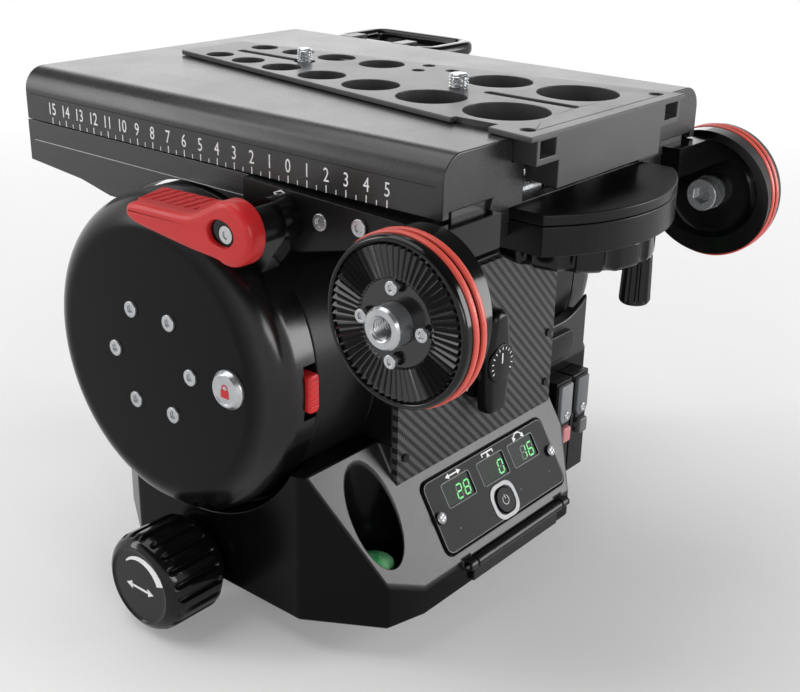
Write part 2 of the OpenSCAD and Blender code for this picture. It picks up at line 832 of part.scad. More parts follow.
// Door over the battery bay, hinged along its top edge
module battery_door() color("#1c1c1c") difference() {
  union() {
    block(-door_hw, door_hw, door_axis_y + 0.6, -housing_reach - slide_gap, housing_z0 + 2, door_axis_z);
    xcyl(door_knuckle_r, -door_hw, door_hw, door_axis_y, door_axis_z);
  }
  xcyl(door_pin_r + run_gap, -door_hw - 1, door_hw + 1, door_axis_y, door_axis_z);
}

// The middle of brake box number i
function box_x(i) = box_x0 + box_w / 2 + i * (box_w + box_gap);

// Two boxes on the cut-away corner, each with an upright slot
module brake_boxes() color("#181818") for (i = [0, 1]) difference() {
  block(box_x(i) - box_w / 2, box_x(i) + box_w / 2, box_y0, -box_wall_y, box_z0, box_z0 + box_h);
  slot_hw = slider_w / 2 + slide_gap;
  slot_hh = slider_h / 2 + slider_travel + slot_play;
  block(box_x(i) - slot_hw, box_x(i) + slot_hw, box_y0 - 1, box_y0 + slot_depth,
        slider_z - slot_hh, slider_z + slot_hh);
}

module brake_slider(i)
  block(box_x(i) - slider_w / 2, box_x(i) + slider_w / 2, box_y0 - slider_out,
        box_y0 + slot_depth - slide_gap, slider_z - slider_h / 2, slider_z + slider_h / 2);
module pan_brake_slider() color("indianred") brake_slider(0);
module tilt_brake_slider() color("lightgray") brake_slider(1);

// Shaft with an end flange for each cap
module tilt_shaft() color("silver") translate([0, 0, tilt_z]) difference() {
  union() {
    xcyl(shaft_r, -cap_x0, cap_x0);
    both_sides() xcyl(cap_screw_pcd / 2 + shaft_rim, drum_end - shaft_flange_t, cap_x0);
  }
  xcyl(shaft_r - shaft_wall, -cap_x0 - 1, cap_x0 + 1);
  both_sides() cap_holes(drum_end - shaft_flange_t - 1, bolt_r + seat_gap);
}
module cap_holes(x0, r)
  for (a = [0:60:300]) xcyl(r, x0, cap_x1 + 1, cap_screw_pcd / 2 * cos(a), cap_screw_pcd / 2 * sin(a));

// A round cap with a rounded rim and an ear that meets the arm's boss
module cap_body() difference() {
  union() {
    translate([cap_x0, 0, 0]) rotate([0, 90, 0]) domed(drum_r, cap_t, cap_round);
    along_x(arm_x1, cap_x1 - ear_drop) {
      d = pivot / norm(pivot);
      side = [-d[1], d[0]];
      translate(pivot) circle(ear_r);
      polygon([pivot + side * ear_r, pivot - side * ear_r, -side * ear_r, side * ear_r]);
    }
  }
  xcyl(boss_r + seat_gap, arm_x1 - 1, cap_x1 + 1, pivot[0], pivot[1]);
  cap_holes(cap_x0 - 1, bolt_r + seat_gap);
  cap_holes(cap_x1 - cap_head_sink, cap_head_r + 0.1);
}

module left_cap() color("#0c0c0c") translate([0, 0, tilt_z]) difference() {
  mirror([1, 0, 0]) cap_body();
  xcyl(button_r + slide_gap, -cap_x1 - 1, -cap_x1 + button_depth, button_pos[0], button_pos[1]);
  block(-cap_x0 - latch_w - 1, -cap_x0 + 1, latch_y - 1, latch_y + latch_depth + 1,
        -latch_h / 2 - latch_travel - 0.5, latch_h / 2 + latch_travel + 0.5);
}

module right_cap() color("#0c0c0c") translate([0, 0, tilt_z]) difference() {
  cap_body();
  xcyl(knob_shaft_r + run_gap, cap_x1 - 18, cap_x1 + 1);
}

// Screws of the caps and of the arms
module side_screws() color("silver") both_sides() {
  for (a = [0:60:300])
    translate([cap_x1 - cap_head_sink, cap_screw_pcd / 2 * cos(a), tilt_z + cap_screw_pcd / 2 * sin(a)])
      rotate([0, 90, 0]) socket_screw(bolt_r, cap_t + cap_bolt_in, cap_head_r, cap_head_h);
  for (p = arm_screws)
    translate([arm_x1, p[0], cradle_z0 + p[1]]) rotate([0, 90, 0])
      socket_screw(arm_bolt_r, arm_bolt_len, arm_head_r, arm_head_h);
}

// Moving discs of the tilt drag, keyed to the shaft
module tilt_drag_rotor() color("silver") translate([0, 0, tilt_z]) difference() {
  union() {
    xcyl(shaft_r + rotor_hub, -drag_end, -bearing_x - fin_t / 2);
    for (i = [0, 1]) translate([-bearing_x - fin_t - groove_w / 2 - i * fin_pitch, 0, 0])
      xcyl(chamber_r - disc_rim, -fin_t / 2, fin_t / 2);
  }
  xcyl(shaft_r + seat_gap, -drum_end, -bearing_x + 1);
}

// Arm that joins a cap to the cradle's side
module arm_body(post) difference() {
  union() {
    along_x(cradle_hw, arm_x1) polygon([
      [skirt_y0 - 0.3, skirt_top], [arm_back, skirt_top - 2.5], [arm_back + 13, cradle_z0 + 0.7],
      [arm_back + 56, cradle_z0 - 10], [skirt_y0 - 0.3, cradle_z0 - 10]
    ]);
    xcyl(boss_r, arm_x1 - 1, cap_x1 - 0.2, pivot[0], tilt_z + pivot[1]);
    if (post) xcyl(post_r, cap_x1 - 1, lever_x1 - lever_dish, pivot[0], tilt_z + pivot[1]);
  }
  xcyl(relief_r, 0, arm_x1 + 0.01, 0, tilt_z);
  for (p = arm_screws)
    xcyl(arm_bolt_r + seat_gap, arm_x1 - arm_bolt_len - 1, arm_x1 + 1, p[0], cradle_z0 + p[1]);
  xcyl(arm_bolt_r + seat_gap, lever_x1 - arm_bolt_len - 4, lever_x1 + 1, pivot[0], tilt_z + pivot[1]);
}
module left_arm() color("#161616") mirror([1, 0, 0]) arm_body(true);
module right_arm() color("#161616") arm_body(false);

// The dovetail's outline, grown by a gap for the groove that it slides in
module dovetail(gap) polygon([
  [-dovetail_hw + dovetail_in - gap, rail_z0 + 0.01], [-dovetail_hw - gap, dovetail_z - gap],
  [dovetail_hw + gap, dovetail_z - gap], [dovetail_hw - dovetail_in + gap, rail_z0 + 0.01]
]);

// Plate that tilts, with the platform's groove on top and a skirt down each side
module cradle() color("#1d1d1f") difference() {
  union() {
    block(-cradle_hw, cradle_hw, cradle_y0, cradle_y1, cradle_z0, cradle_top);
    both_sides() along_x(cradle_hw - 1, platform_hw) polygon([
      [skirt_y0, skirt_top], [cradle_y1, skirt_top], [cradle_y1, skirt_top - skirt_drop[0]],
      [skirt_knee + 20, skirt_top - skirt_drop[0] - 3], [skirt_knee, skirt_top - skirt_drop[1]],
      [skirt_y0, skirt_top - skirt_drop[1]]
    ]);
  }
  along_y(cradle_y0 - 1, cradle_y1 + 1) dovetail(slide_gap);
  both_sides() xcyl(relief_r, column_hw - 1, platform_hw + 1, 0, tilt_z);
  zcyl(pinion_pr + gear_add + 1, cradle_z0 - 1, rail_z0, 0, pinion_y);
}

// Cup that holds a rosette: a bowl cut off aslant, with a bracket from its floor to the cradle's rear face
module cup_body() difference() {
  union() {
    difference() {
      xcyl(cup_r, cup_x0, cup_x1, rosette_y, rosette_z);
      translate([cup_open_x, rosette_y, rosette_z]) rotate([0, -cup_lean, cup_turn])
        translate([-2 * cup_r, -2 * cup_r, -2 * cup_r]) cube([2 * cup_r, 4 * cup_r, 4 * cup_r]);
      translate([cup_x0 - 1, rosette_y, rosette_z]) rotate([0, 90, 0])
        domed(cup_r - cup_wall, cup_floor_x - cup_x0 + 1, cup_round);
    }
    block(bracket_x0, cup_floor_x + bracket_in, cradle_y0 - bracket_t, cradle_y0,
          skirt_top - bracket_h, skirt_top - slide_gap);
  }
  xcyl(rosette_r + seat_gap, rosette_x - rosette_t, rosette_x + 1, rosette_y, rosette_z);
  xcyl(bush_r + seat_gap, bush_x0 - 1, rosette_x, rosette_y, rosette_z);
}
module left_cup() color("#141414") mirror([1, 0, 0]) cup_body();
module right_cup() color("#141414") cup_body();

// Toothed discs that a pan bar locks against
module rosettes() color("#202020") both_sides() translate([rosette_x - rosette_t, rosette_y, rosette_z])
  rotate([0, 90, 0]) difference() {
    union() {
      cylinder(r = rosette_r, h = rosette_t - tooth_h);
      cylinder(r = tooth_r0, h = rosette_t);
      for (i = [0:rosette_teeth - 1]) rotate(i * 360 / rosette_teeth)
        translate([0, 0, rosette_t - tooth_h - 0.01]) rotate([90, 0, 90]) translate([0, 0, tooth_r0 - 0.5])
          linear_extrude(rosette_r - tooth_r0 - 0.3)
            polygon([[-tooth_hw[0], 0], [tooth_hw[0], 0], [tooth_hw[1], tooth_h], [-tooth_hw[1], tooth_h]]);
    }
    translate([0, 0, -1]) cylinder(r = bush_r + seat_gap, h = rosette_t + 2);
    for (a = [0:90:270]) rotate(a) translate([rosette_screw_pcd / 2, 0, -1])
      cylinder(r = small_bolt_r + seat_gap, h = rosette_t + 2);
  }

module rosette_screws() color("silver") both_sides()
  translate([rosette_x, rosette_y, rosette_z]) rotate([0, 90, 0])
    for (a = [0:90:270]) rotate(a) translate([rosette_screw_pcd / 2, 0, 0])
      socket_screw(small_bolt_r, rosette_t, rosette_head_r, rosette_head_h);

// Threaded bushes that take the pan bar bolts
module bar_bushes() color("silver") both_sides() difference() {
  xcyl(bush_r, bush_x0, rosette_x + bush_out, rosette_y, rosette_z);
  xcyl(bar_thread_r, bush_x0 + bush_floor, rosette_x + bush_out + 1, rosette_y, rosette_z);
  xcyl(bar_bolt_r + seat_gap, bush_x0 - 1, bush_x0 + bush_floor, rosette_y, rosette_z);
}

module cup_bolts() color("silver") both_sides()
  translate([bush_x0, rosette_y, rosette_z]) rotate([0, -90, 0]) 
    socket_screw(bar_bolt_r, bar_bolt_len, bar_bolt_head_r, bar_bolt_len);

module red_rings() color("red") both_sides() for (x = ring_xs) difference() {
  xcyl(cup_r + ring_t, x, x + ring_w, rosette_y, rosette_z);
  xcyl(cup_r + seat_gap, x - 1, x + ring_w + 1, rosette_y, rosette_z);
}

// Rounded rear outline shared by the crank plate and the gear cover
module rear_outline(y1) intersection() {
  translate([0, cover_y]) circle(cover_r);
  translate([-cover_hw, cover_y - cover_r]) square([2 * cover_hw, y1 - cover_y + cover_r]);
}

module crank_plate() color("#17171a") translate([0, 0, cover_top + plate_seam])
  linear_extrude(crank_plate_top - cover_top - plate_seam) rear_outline(cradle_y0);

// Tray under the cradle that holds the crank gear and the pinion's pin
module gear_cover() color("#121214") {
  difference() {
    union() {
      translate([0, 0, cover_z0]) linear_extrude(cover_top - cover_z0) rear_outline(cover_y1);
      block(-pin_bridge[0], pin_bridge[0], cover_y1 - 1, pinion_y + pin_bridge[1], cover_z0, cover_floor);
    }
    block(-cover_r, cover_r, cradle_y0, 0, cradle_z0, cover_top + 1);
    zcyl(crank_pr + gear_add + 2, cover_floor, cover_top - 3, 0, crank_y);
    zcyl(pinion_pr + gear_add + 1.2, cover_floor, cover_top + 1, 0, pinion_y);
    zcyl(crank_shaft_r + run_gap, cover_z0 - 1, cover_floor + 1, 0, crank_y);
  }
  zcyl(pinion_pin_r, cover_z0 + 1, rack_z1 - pinion_drop, 0, pinion_y);
}

// Platform rails, floor and dovetail, with the wedge channel and the bail's ears
module platform() color("#2c2c2e") difference() {
  union() {
    along_y(platform_y0, platform_y1) {
      translate([-platform_hw, rail_z0]) square([platform_w, platform_h - platform_round]);
      translate([-platform_hw + platform_round, rail_z0])
        square([platform_w - 2 * platform_round, platform_h]);
      for (s = [-1, 1]) {
        intersection() {
          translate([s * (platform_hw - platform_round), platform_top - platform_round])
            circle(platform_round);
          translate([-platform_hw, rail_z0]) square([platform_w, platform_h]);
        }
        translate([s * (platform_hw - lip_w / 2), rail_z0 - lip_h / 2 + 0.5])
          square([lip_w, lip_h + 1], center = true);
      }
      dovetail(0);
    }
    for (y = ear_ys()) block(platform_hw - 1, bail_axis[0] + bail_r + 2, y, y + ear_w,
                             bail_axis[1] - bail_r - 2, bail_axis[1] + bail_r + 1.5);
  }
  wedge(plate_over - side_gap, platform_y0 - 1, plate_y1 + 1, shelf_z, platform_top + 1);
  wedge(rail_in, platform_y0 - 1, plate_y1 - 20, floor_top, shelf_z + 1);
  block(-plate_hw(platform_y0) + rail_in, plate_hw(platform_y0) - rail_in, platform_y0 - 1, platform_y0 + 11,
        dovetail_z - 1, floor_top + 1);
  block(rack_x0 - slide_gap, pinion_pr + gear_add + 1, platform_y0 - 1, platform_y1 + 1,
        dovetail_z - 1, rack_z1);
  ycyl(bail_r + run_gap, platform_y0, platform_y1, bail_axis[0], bail_axis[1]);
  xcyl(clamp_screw_r + seat_gap, -platform_hw + clamp_screw_in, 0,
       platform_y0 + clamp_screw_y, clamp_screw_z);
}
function ear_ys() = [bail_y0 + bail_bend + 2, bail_y0 + bail_len - bail_bend - 2 - ear_w];

// Rack under the platform, with trapezoid teeth in mesh with the pinion
module rack() color("silver") translate([0, 0, rack_z0]) linear_extrude(rack_z1 - rack_z0) {
  pitch = PI * gear_m;
  half = pitch / 4 - backlash / 2;
  lean = tan(press_deg);
  first = ceil((rack_y0 - pinion_y) / pitch);
  last = floor((rack_y1 - pinion_y) / pitch);
  root = rack_x1 - gear_ded;
  polygon(concat(
    [[rack_x0, rack_y1 + pitch / 2], [rack_x0, rack_y0 - pitch / 2], [root, rack_y0 - pitch / 2]],
    [for (i = [first:last], k = [-1, 1], j = [0, 1])
      let (out = (k < 0 ? j : 1 - j), w = half + (out ? -gear_add : gear_ded) * lean)
      [out ? rack_x1 + gear_add : root, pinion_y + i * pitch + k * w]],
    [[root, rack_y1 + pitch / 2]]
  ));
}

module clamp_screw() color("silver")
  xcyl(clamp_screw_r, -platform_hw + clamp_screw_in + 1, -plate_hw(platform_y0) + foot_in - 2,
       platform_y0 + clamp_screw_y, clamp_screw_z);

// Radius and place of lightening hole number i
function light_hole_r(i) = light_r * pow(light_ratio, i);
function light_y(i) = i == 0 ? light_y0 : light_y(i - 1) + light_hole_r(i - 1) + light_hole_r(i) + light_web;
function light_x(i) = light_hw[0] + (light_hw[1] - light_hw[0]) * i / (light_count - 1);

// Wedge plate that the camera is screwed to, lightened by two rows of holes
module camera_plate() color("#3a3a3c") difference() {
  union() {
    wedge(0, plate_y0, plate_y1, plate_z0, plate_top);
    wedge(plate_over, plate_y0, plate_y1, shelf_z + slide_gap, plate_z0 + 0.01);
    wedge(foot_in, plate_y0, foot_y1, floor_top + slide_gap, shelf_z + 1);
  }
  for (i = [0:light_count - 1], s = [-1, 1]) if (i != 2 || s < 0)
    zcyl(light_hole_r(i), floor_top, plate_top + 1, s * light_x(i), light_y(i));
  for (p = small_holes)
    zcyl(small_hole_r, floor_top, plate_top + 1, p[0], light_y(2) + p[1]);
  for (s = [-1, 1])
    zcyl(small_hole_r, plate_top - 10, plate_top + 1, s * (plate_rear_hw - corner_hole[0]),
         plate_y0 + corner_hole[1]);
  for (s = [[light_y(0) - rear_slot[0], light_y(0) + rear_slot[1]], [screw_ys[1], screw_ys[1] + slot_len]]) {
    block(-slot_r, slot_r, s[0], s[1], floor_top, plate_top + 1);
    for (y = s) zcyl(slot_r, floor_top, plate_top + 1, 0, y);
  }
  for (i = [0, 1]) {
    zcyl(screw_rs[i] + 0.2, floor_top, plate_top + 1, 0, screw_ys[i]);
    zcyl(screw_head_r + slide_gap, floor_top, screw_seat_z, 0, screw_ys[i]);
  }
  for (s = [-1, 1])
    block(s * end_slot[0] - end_slot[1], s * end_slot[0] + end_slot[1], plate_y0 - 1, plate_y0 + end_slot[2],
          shelf_z + 3, plate_z0 - slide_gap);
  block(-plate_rear_hw, -plate_rear_hw + plate_notch[0], plate_y0 + plate_notch[1],
        plate_y0 + plate_notch[1] + plate_notch[2], shelf_z, plate_top + 1);
}

module camera_screws() color("silver") for (i = [0, 1]) {
  zcyl(screw_head_r, screw_seat_z - screw_head_h, screw_seat_z, 0, screw_ys[i]);
  zcyl(screw_rs[i] - screw_neck, screw_seat_z - 0.01, plate_top + 0.01, 0, screw_ys[i]);
  zcyl(screw_rs[i], plate_top, plate_top + camera_screw_h, 0, screw_ys[i]);
}

// Lock lever: an oval hub and an arm that runs forward over the cap's rim
module lock_lever() color("crimson") difference() {
  union() {
    mirror([1, 0, 0]) along_x(lever_x0, lever_x1) translate([pivot[0], tilt_z + pivot[1]]) lever_outline();
    difference() {
      mirror([1, 0, 0]) along_x(cap_x1 - 12, lever_x0 + 0.5) translate([pivot[0], tilt_z + pivot[1]])
        polygon([[28, 5.5], [lever_len, 5.5], [lever_len - 1, -4], [28, -7]]);
      xcyl(drum_r + 0.8, -lever_x0, -cap_x0, 0, tilt_z);
    }
  }
  xcyl(post_r + run_gap, -lever_x1 + lever_dish - 0.1, -lever_x0 + 1, pivot[0], tilt_z + pivot[1]);
  xcyl(4, -lever_x1 - 1, -lever_x0 + 1, pivot[0], tilt_z + pivot[1]);
}
module lever_outline() {
  translate([1.3, -0.2]) circle(11.8);
  translate([-4.5, 2]) circle(9.6);
  polygon([
    [5.3, 10.8], [18.3, 4], [lever_len - 1, 2], [lever_len, -4.6],
    [lever_len - 5, -6.6], [18.3, -9.9], [5.3, -11.2]
  ]);
}

module lever_screw() color("silver")
  translate([-lever_x1 + lever_dish, pivot[0], tilt_z + pivot[1]]) rotate([0, -90, 0])
    socket_screw(arm_bolt_r, arm_bolt_len, arm_head_r, lever_head_h);

// A fluted knob along +Z, with a collar at its inner end and a shallow dish in its face
module drag_knob() difference() {
  union() {
    cylinder(r = drag_knob_r - knob_collar[0], h = knob_collar[1]);
    translate([0, 0, knob_collar[1] - 0.1])
      cylinder(r = drag_knob_r, h = drag_knob_len - knob_collar[1] - knob_bevel[1] + 0.1);
    translate([0, 0, drag_knob_len - knob_bevel[1]])
      cylinder(r1 = drag_knob_r, r2 = drag_knob_r - knob_bevel[0], h = knob_bevel[1]);
  }
  for (i = [0:knob_flutes - 1]) rotate(i * 360 / knob_flutes)
    translate([drag_knob_r + flute_out, 0, knob_collar[1] + 1])
      cylinder(r = flute_r, h = drag_knob_len - 3 * knob_collar[1]);
  translate([0, 0, drag_knob_len - knob_dish[1]])
    cylinder(r = drag_knob_r - knob_dish[0], h = knob_dish[1] + 1);
}

module pan_drag_knob() color("#101010") {
  translate([-housing_hw - knob_gap, knob_y, knob_z]) rotate([0, -90, 0]) drag_knob();
  xcyl(knob_shaft_r, -housing_hw - knob_gap - 0.5, -recess_r - 8, knob_y, knob_z);
}

module tilt_drag_knob() color("#101010") {
  translate([cap_x1 + slide_gap, 0, tilt_z]) rotate([0, 90, 0]) drag_knob();
  xcyl(knob_shaft_r, cap_x1 - 17, cap_x1 + slide_gap + 0.5, 0, tilt_z);
}

// Wing knob on the carbon panel that sets the counterbalance
module counterbalance_knob() color("#131313") {
  y0 = -column_back - panel_t - wing_out;
  along_y(y0, y0 + wing_t) translate([0, balance_z]) {
    square([wing_w, wing_len - wing_w], center = true);
    for (s = [-1, 1]) translate([0, s * (wing_len - wing_w) / 2]) circle(wing_w / 2);
  }
  ycyl(wing_hub_r, y0 + 1, -column_back - panel_t - dial_t - slide_gap, 0, balance_z);
  ycyl(balance_shaft_r, y0 + 2, -column_back + balance_depth, 0, balance_z);
}

// Fluted hand wheel with the grip's pin and the crank shaft
module crank_knob() color("#0e0e0e") difference() {
  union() {
    zcyl(crank_r, crank_z0, crank_z1, 0, crank_y);
    zcyl(crank_shaft_r, crank_z1 - 1, gear_z1, 0, crank_y);
    zcyl(grip_pin_r, crank_z0 - grip_len + 3, crank_z0 + 1, grip_pos[0], grip_pos[1]);
  }
  for (i = [0:wheel_flutes - 1]) translate([0, crank_y, crank_z0 - 1]) rotate((i + 0.5) * 360 / wheel_flutes)
    translate([crank_r + wheel_flute_out, 0, 0]) cylinder(r = wheel_flute_r, h = crank_h - wheel_flute_out);
}

module crank_gear() color("silver") translate([0, crank_y, gear_z0]) difference() {
  linear_extrude(gear_z1 - gear_z0) gear_outline(crank_teeth, 90);
  translate([0, 0, -1]) cylinder(r = crank_shaft_r + seat_gap, h = gear_z1 - gear_z0 + 2);
}

// Pinion, with a tooth space towards the rack and another towards the crank gear
module pinion() color("silver") translate([0, pinion_y, gear_z0]) difference() {
  linear_extrude(rack_z1 - pinion_drop - gear_z0) gear_outline(pinion_teeth, 180 + 180 / pinion_teeth);
  translate([0, 0, -1]) cylinder(r = pinion_pin_r + run_gap, h = rack_z1 - gear_z0 + 2);
}

module crank_grip() color("#0e0e0e") translate([grip_pos[0], grip_pos[1], crank_z0 - grip_len]) difference() {
  cylinder(r1 = grip_r[0], r2 = grip_r[1], h = grip_len - slide_gap);
  translate([0, 0, 2.5]) cylinder(r = grip_pin_r + run_gap, h = grip_len);
}

module lock_button() color("silver")
  xcyl(button_r, -cap_x1 - button_out, -cap_x1 + button_depth - button_travel - 0.5,
       button_pos[0], tilt_z + button_pos[1]);

// Ribbed latch at the rim of the left cap
module drum_latch() color("red") {
  block(-cap_x0 - latch_w - 0.7, -cap_x0 - 0.4, latch_y, latch_y + latch_depth,
        tilt_z - latch_h / 2, tilt_z + latch_h / 2);
  for (i = [-2:2]) block(-cap_x0 - latch_w - 0.7, -cap_x0 - 0.4, latch_y - 0.8, latch_y + 0.1,
                         tilt_z + i * 3.2 - 0.8, tilt_z + i * 3.2 + 0.8);
}

module power_button() color("dimgray") on_slant() translate([0, power_v, -display_recess - 4])
  cylinder(r = power_r, h = display_recess + 4 + 1.8);

// Closed loop of round bar that hinges on its inner side
module release_bail() color("#0d0d0d") translate([bail_axis[0], bail_y0, bail_axis[1]]) {
  w = bail_reach;
  b = bail_bend;
  for (x = [0, w]) translate([x, 0, 0]) ycyl(bail_r, b - 0.01, bail_len - b + 0.01);
  for (y = [0, bail_len]) translate([0, y, 0]) xcyl(bail_r, b - 0.01, w - b + 0.01);
  for (c = [[b, b, 180], [w - b, b, 270], [w - b, bail_len - b, 0], [b, bail_len - b, 90]])
    translate([c[0], c[1], 0]) rotate(c[2]) rotate_extrude(angle = 90)
      translate([b, 0]) circle(bail_r, $fn = 48);
}

base_plate();
pan_spindle();
spindle_screws();
spindle_nut();
pan_housing();
pan_bearings();
pan_drag_cartridge();
tilt_housing();
tilt_bearings();
tilt_drag_stator();
spring_cassette();
carbon_panel();
panel_screws();
dial_plate();
display_panel();
display_windows();
display_board();
level_vial();
battery();
hinge_pin();
brake_boxes();
tilt_shaft();
left_cap();
right_cap();
side_screws();
tilt_drag_rotor();
left_arm();
right_arm();
cradle();
left_cup();
right_cup();
rosettes();
rosette_screws();
bar_bushes();
cup_bolts();
red_rings();
crank_plate();
gear_cover();
platform();
rack();
clamp_screw();
camera_plate();
camera_screws();
lock_lever();
lever_screw();
pan_drag_knob();
tilt_drag_knob();
counterbalance_knob();
crank_knob();
crank_gear();
pinion();
crank_grip();
lock_button();
drum_latch();
power_button();
pan_brake_slider();
tilt_brake_slider();
battery_door();
release_bail();
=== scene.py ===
"""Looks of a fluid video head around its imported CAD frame, laid out as an add-on."""
import math

import bmesh
import bpy
import numpy as np
from mathutils import Matrix


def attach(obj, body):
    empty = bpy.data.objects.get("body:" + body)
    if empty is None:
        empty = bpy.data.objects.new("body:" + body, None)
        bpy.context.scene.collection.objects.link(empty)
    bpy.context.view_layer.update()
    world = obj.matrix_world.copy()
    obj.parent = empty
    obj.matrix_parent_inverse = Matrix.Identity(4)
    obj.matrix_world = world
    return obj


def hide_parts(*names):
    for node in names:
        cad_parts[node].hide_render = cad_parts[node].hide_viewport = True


bl_info = {
    "name": "Fluid Video Head Looks",
    "version": (1, 0, 0),
    "blender": (4, 5, 0),
    "location": "3D View > Sidebar > Video Head",
    "description": "Dresses the CAD frame of a fluid video head: finishes, marks, knobs, threads and stage",
    "category": "Object",
}

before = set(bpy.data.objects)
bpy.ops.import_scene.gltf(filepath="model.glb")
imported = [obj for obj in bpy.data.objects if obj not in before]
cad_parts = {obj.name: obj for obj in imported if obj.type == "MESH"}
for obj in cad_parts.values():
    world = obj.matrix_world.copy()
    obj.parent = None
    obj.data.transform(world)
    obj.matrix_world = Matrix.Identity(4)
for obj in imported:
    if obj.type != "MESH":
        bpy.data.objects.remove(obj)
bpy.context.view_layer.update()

MM = 0.001
TAU = 2.0 * math.pi
QUARTER = math.pi / 2
X_AXIS, Y_AXIS, Z_AXIS = np.eye(3)

# Places on the part, in the frame of its source, in millimetres
TILT_Z = 122.3
DRUM_R = 72.0
CAP_FACE = 121.5
SCALE_X = -94.0
SCALE_ZERO_Y = -54.5
POINTER_X = -98.0
SLANT_DEG = 58.6
SLANT_FOOT = np.array([0.0, -106.7, 30.0])
SLANT_UP = np.array([0.0, math.cos(math.radians(SLANT_DEG)), math.sin(math.radians(SLANT_DEG))])
SLANT_OUT = np.array([0.0, -SLANT_UP[2], SLANT_UP[1]])
ROSETTE_X, ROSETTE_Y, ROSETTE_Z = 123.5, -132.5, 175.0
LEVER_SPOT = (-122.0, -57.2, 192.2)
BUTTON_SPOT = (-CAP_FACE, -46.9, 123.9)
LATCH_SPOT = (-99.55, -63.0, TILT_Z)
PAN_KNOB_SPOT = (-108.0, -6.5, 24.0)
TILT_KNOB_SPOT = (121.8, 0.0, TILT_Z)
WING_SPOT = (0.0, -84.9, 110.3)
DIAL_SPOT = (0.0, -84.7, 110.3)
WHEEL_SPOT = (0.0, -125.5, 0.0)
GRIP_SPOT = (16.75, -148.56, 0.0)
BAIL_MIDDLE, BAIL_Z = (121.0, 66.5), 220.7
CLAMP_SPOT = (-77.0, -124.9, 211.7)
CLAMP_TIP_SPOT = (-51.5, -124.9, 204.5)
LEVEL_SPOT = (-78.0, -86.5, 35.0)
BRAKE_Y, BRAKE_Z = -84.6, 56.2
TAB_SPOT = (74.0, -75.6, 90.6)


# Shapes

class Shape:
    """Collects vertex arrays and faces in millimetres and makes one mesh object of them at the origin."""

    def __init__(self):
        self.verts, self.faces, self.marks, self.count = [], [], [], 0

    def add(self, verts, faces, mark=0):
        """Adds a vertex array and an array of faces (faces, corners), all of one material number."""
        verts, faces = np.asarray(verts, float).reshape(-1, 3), np.asarray(faces, int)
        self.verts.append(verts)
        self.faces.append(faces + self.count)
        self.marks.append(np.full(len(faces), mark, np.int32))
        self.count += len(verts)
        return self

    def rings(self, rings, mark=0, caps=True, loop=False):
        """Adds a skin over closed rings, array (rings, points, 3): quads between neighbours, capped ends."""
        rings = np.asarray(rings, float)
        n, m = rings.shape[:2]
        row = np.arange(n if loop else n - 1)[:, None]
        a, b = row * m, (row + 1) % n * m
        j = np.arange(m)[None, :]
        k = (j + 1) % m
        start = self.count
        self.add(rings.reshape(-1, 3), np.stack([a + j, a + k, b + k, b + j], -1).reshape(-1, 4), mark)
        if caps and not loop:
            ends = np.stack([np.arange(m)[::-1], np.arange((n - 1) * m, n * m)]) + start - self.count
            self.add(np.empty((0, 3)), ends, mark)
        return self

    def build(self, name, looks, body, slot, nodes=(), sharp=38.0):
        """Makes the object: metres, doubles merged, normals outwards, smooth up to the sharp angle."""
        mesh = bpy.data.meshes.new(name)
        faces = sum((block.tolist() for block in self.faces), [])
        mesh.from_pydata((np.concatenate(self.verts) * MM).tolist(), [], faces)
        mesh.polygons.foreach_set("material_index", np.concatenate(self.marks))
        work = bmesh.new()
        work.from_mesh(mesh)
        bmesh.ops.remove_doubles(work, verts=work.verts, dist=0.002 * MM)
        bmesh.ops.recalc_face_normals(work, faces=work.faces)
        work.to_mesh(mesh)
        work.free()
        mesh.shade_smooth()
        mesh.set_sharp_from_angle(angle=math.radians(sharp))
        for look in looks.split():
            mesh.materials.append(finish(look))
        obj = bpy.data.objects.new(name, mesh)
        bpy.context.scene.collection.objects.link(obj)
        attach(obj, body)
        if nodes:
            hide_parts(*nodes)
        return obj


def seat(origin, right, up):
    """A function that carries local points (u, v, w) to origin + u right + v up + w (right x up)."""
    base = np.array([right, up, np.cross(right, up)], float)

    def carry(points):
        return np.asarray(points, float) @ base + np.asarray(origin, float)
    return carry


def moved(points, u=0.0, v=0.0, w=0.0):
    """Local points shifted by (u, v, w)."""
    return points + np.array([u, v, w])


def spun(points, degrees):
    """Local points turned about w: (u cos a - v sin a, u sin a + v cos a, w)."""
    a = math.radians(degrees)
    turn = np.array([[math.cos(a), math.sin(a), 0.0], [-math.sin(a), math.cos(a), 0.0], [0.0, 0.0, 1.0]])
    return np.asarray(points, float) @ turn


def lifted(flat, height):
    """Points (u, v) with a third coordinate, a height that fits their grid."""
    return np.concatenate([flat, np.broadcast_to(height, flat.shape[:-1])[..., None]], -1)


def around(steps):
    """Angles of one whole turn in even steps."""
    return np.linspace(0.0, TAU, steps, endpoint=False)


def oval(angles, width, height, u=0.0, v=0.0):
    """Points (u + width cos a, v + height sin a)."""
    return np.stack([u + width * np.cos(angles), v + height * np.sin(angles)], -1)


def circle(radius, steps):
    """Outline of a circle."""
    return oval(around(steps), radius, radius)


def oval_rect(width, height, radius, steps=6):
    """Outline of a rectangle with round corners, centred: four quarter circles of the radius."""
    a = np.linspace(0.0, QUARTER, steps)
    u, v = width / 2 - radius, height / 2 - radius
    spots = enumerate([(u, v), (-u, v), (-u, -v), (u, -v)])
    return np.concatenate([oval(a + k * QUARTER, radius, radius, *spot) for k, spot in spots])


def turned(profile, steps=64, cut=None):
    """Turned form: each (r, h) of the profile goes round as (r cos t, r sin t, h); cut(t, h) adds to r."""
    r, h = np.asarray(profile, float).T[:, :, None]
    t = around(steps)[None, :]
    if cut is not None:
        r = r + cut(t, h)
    return lifted(oval(t, r, r), h)


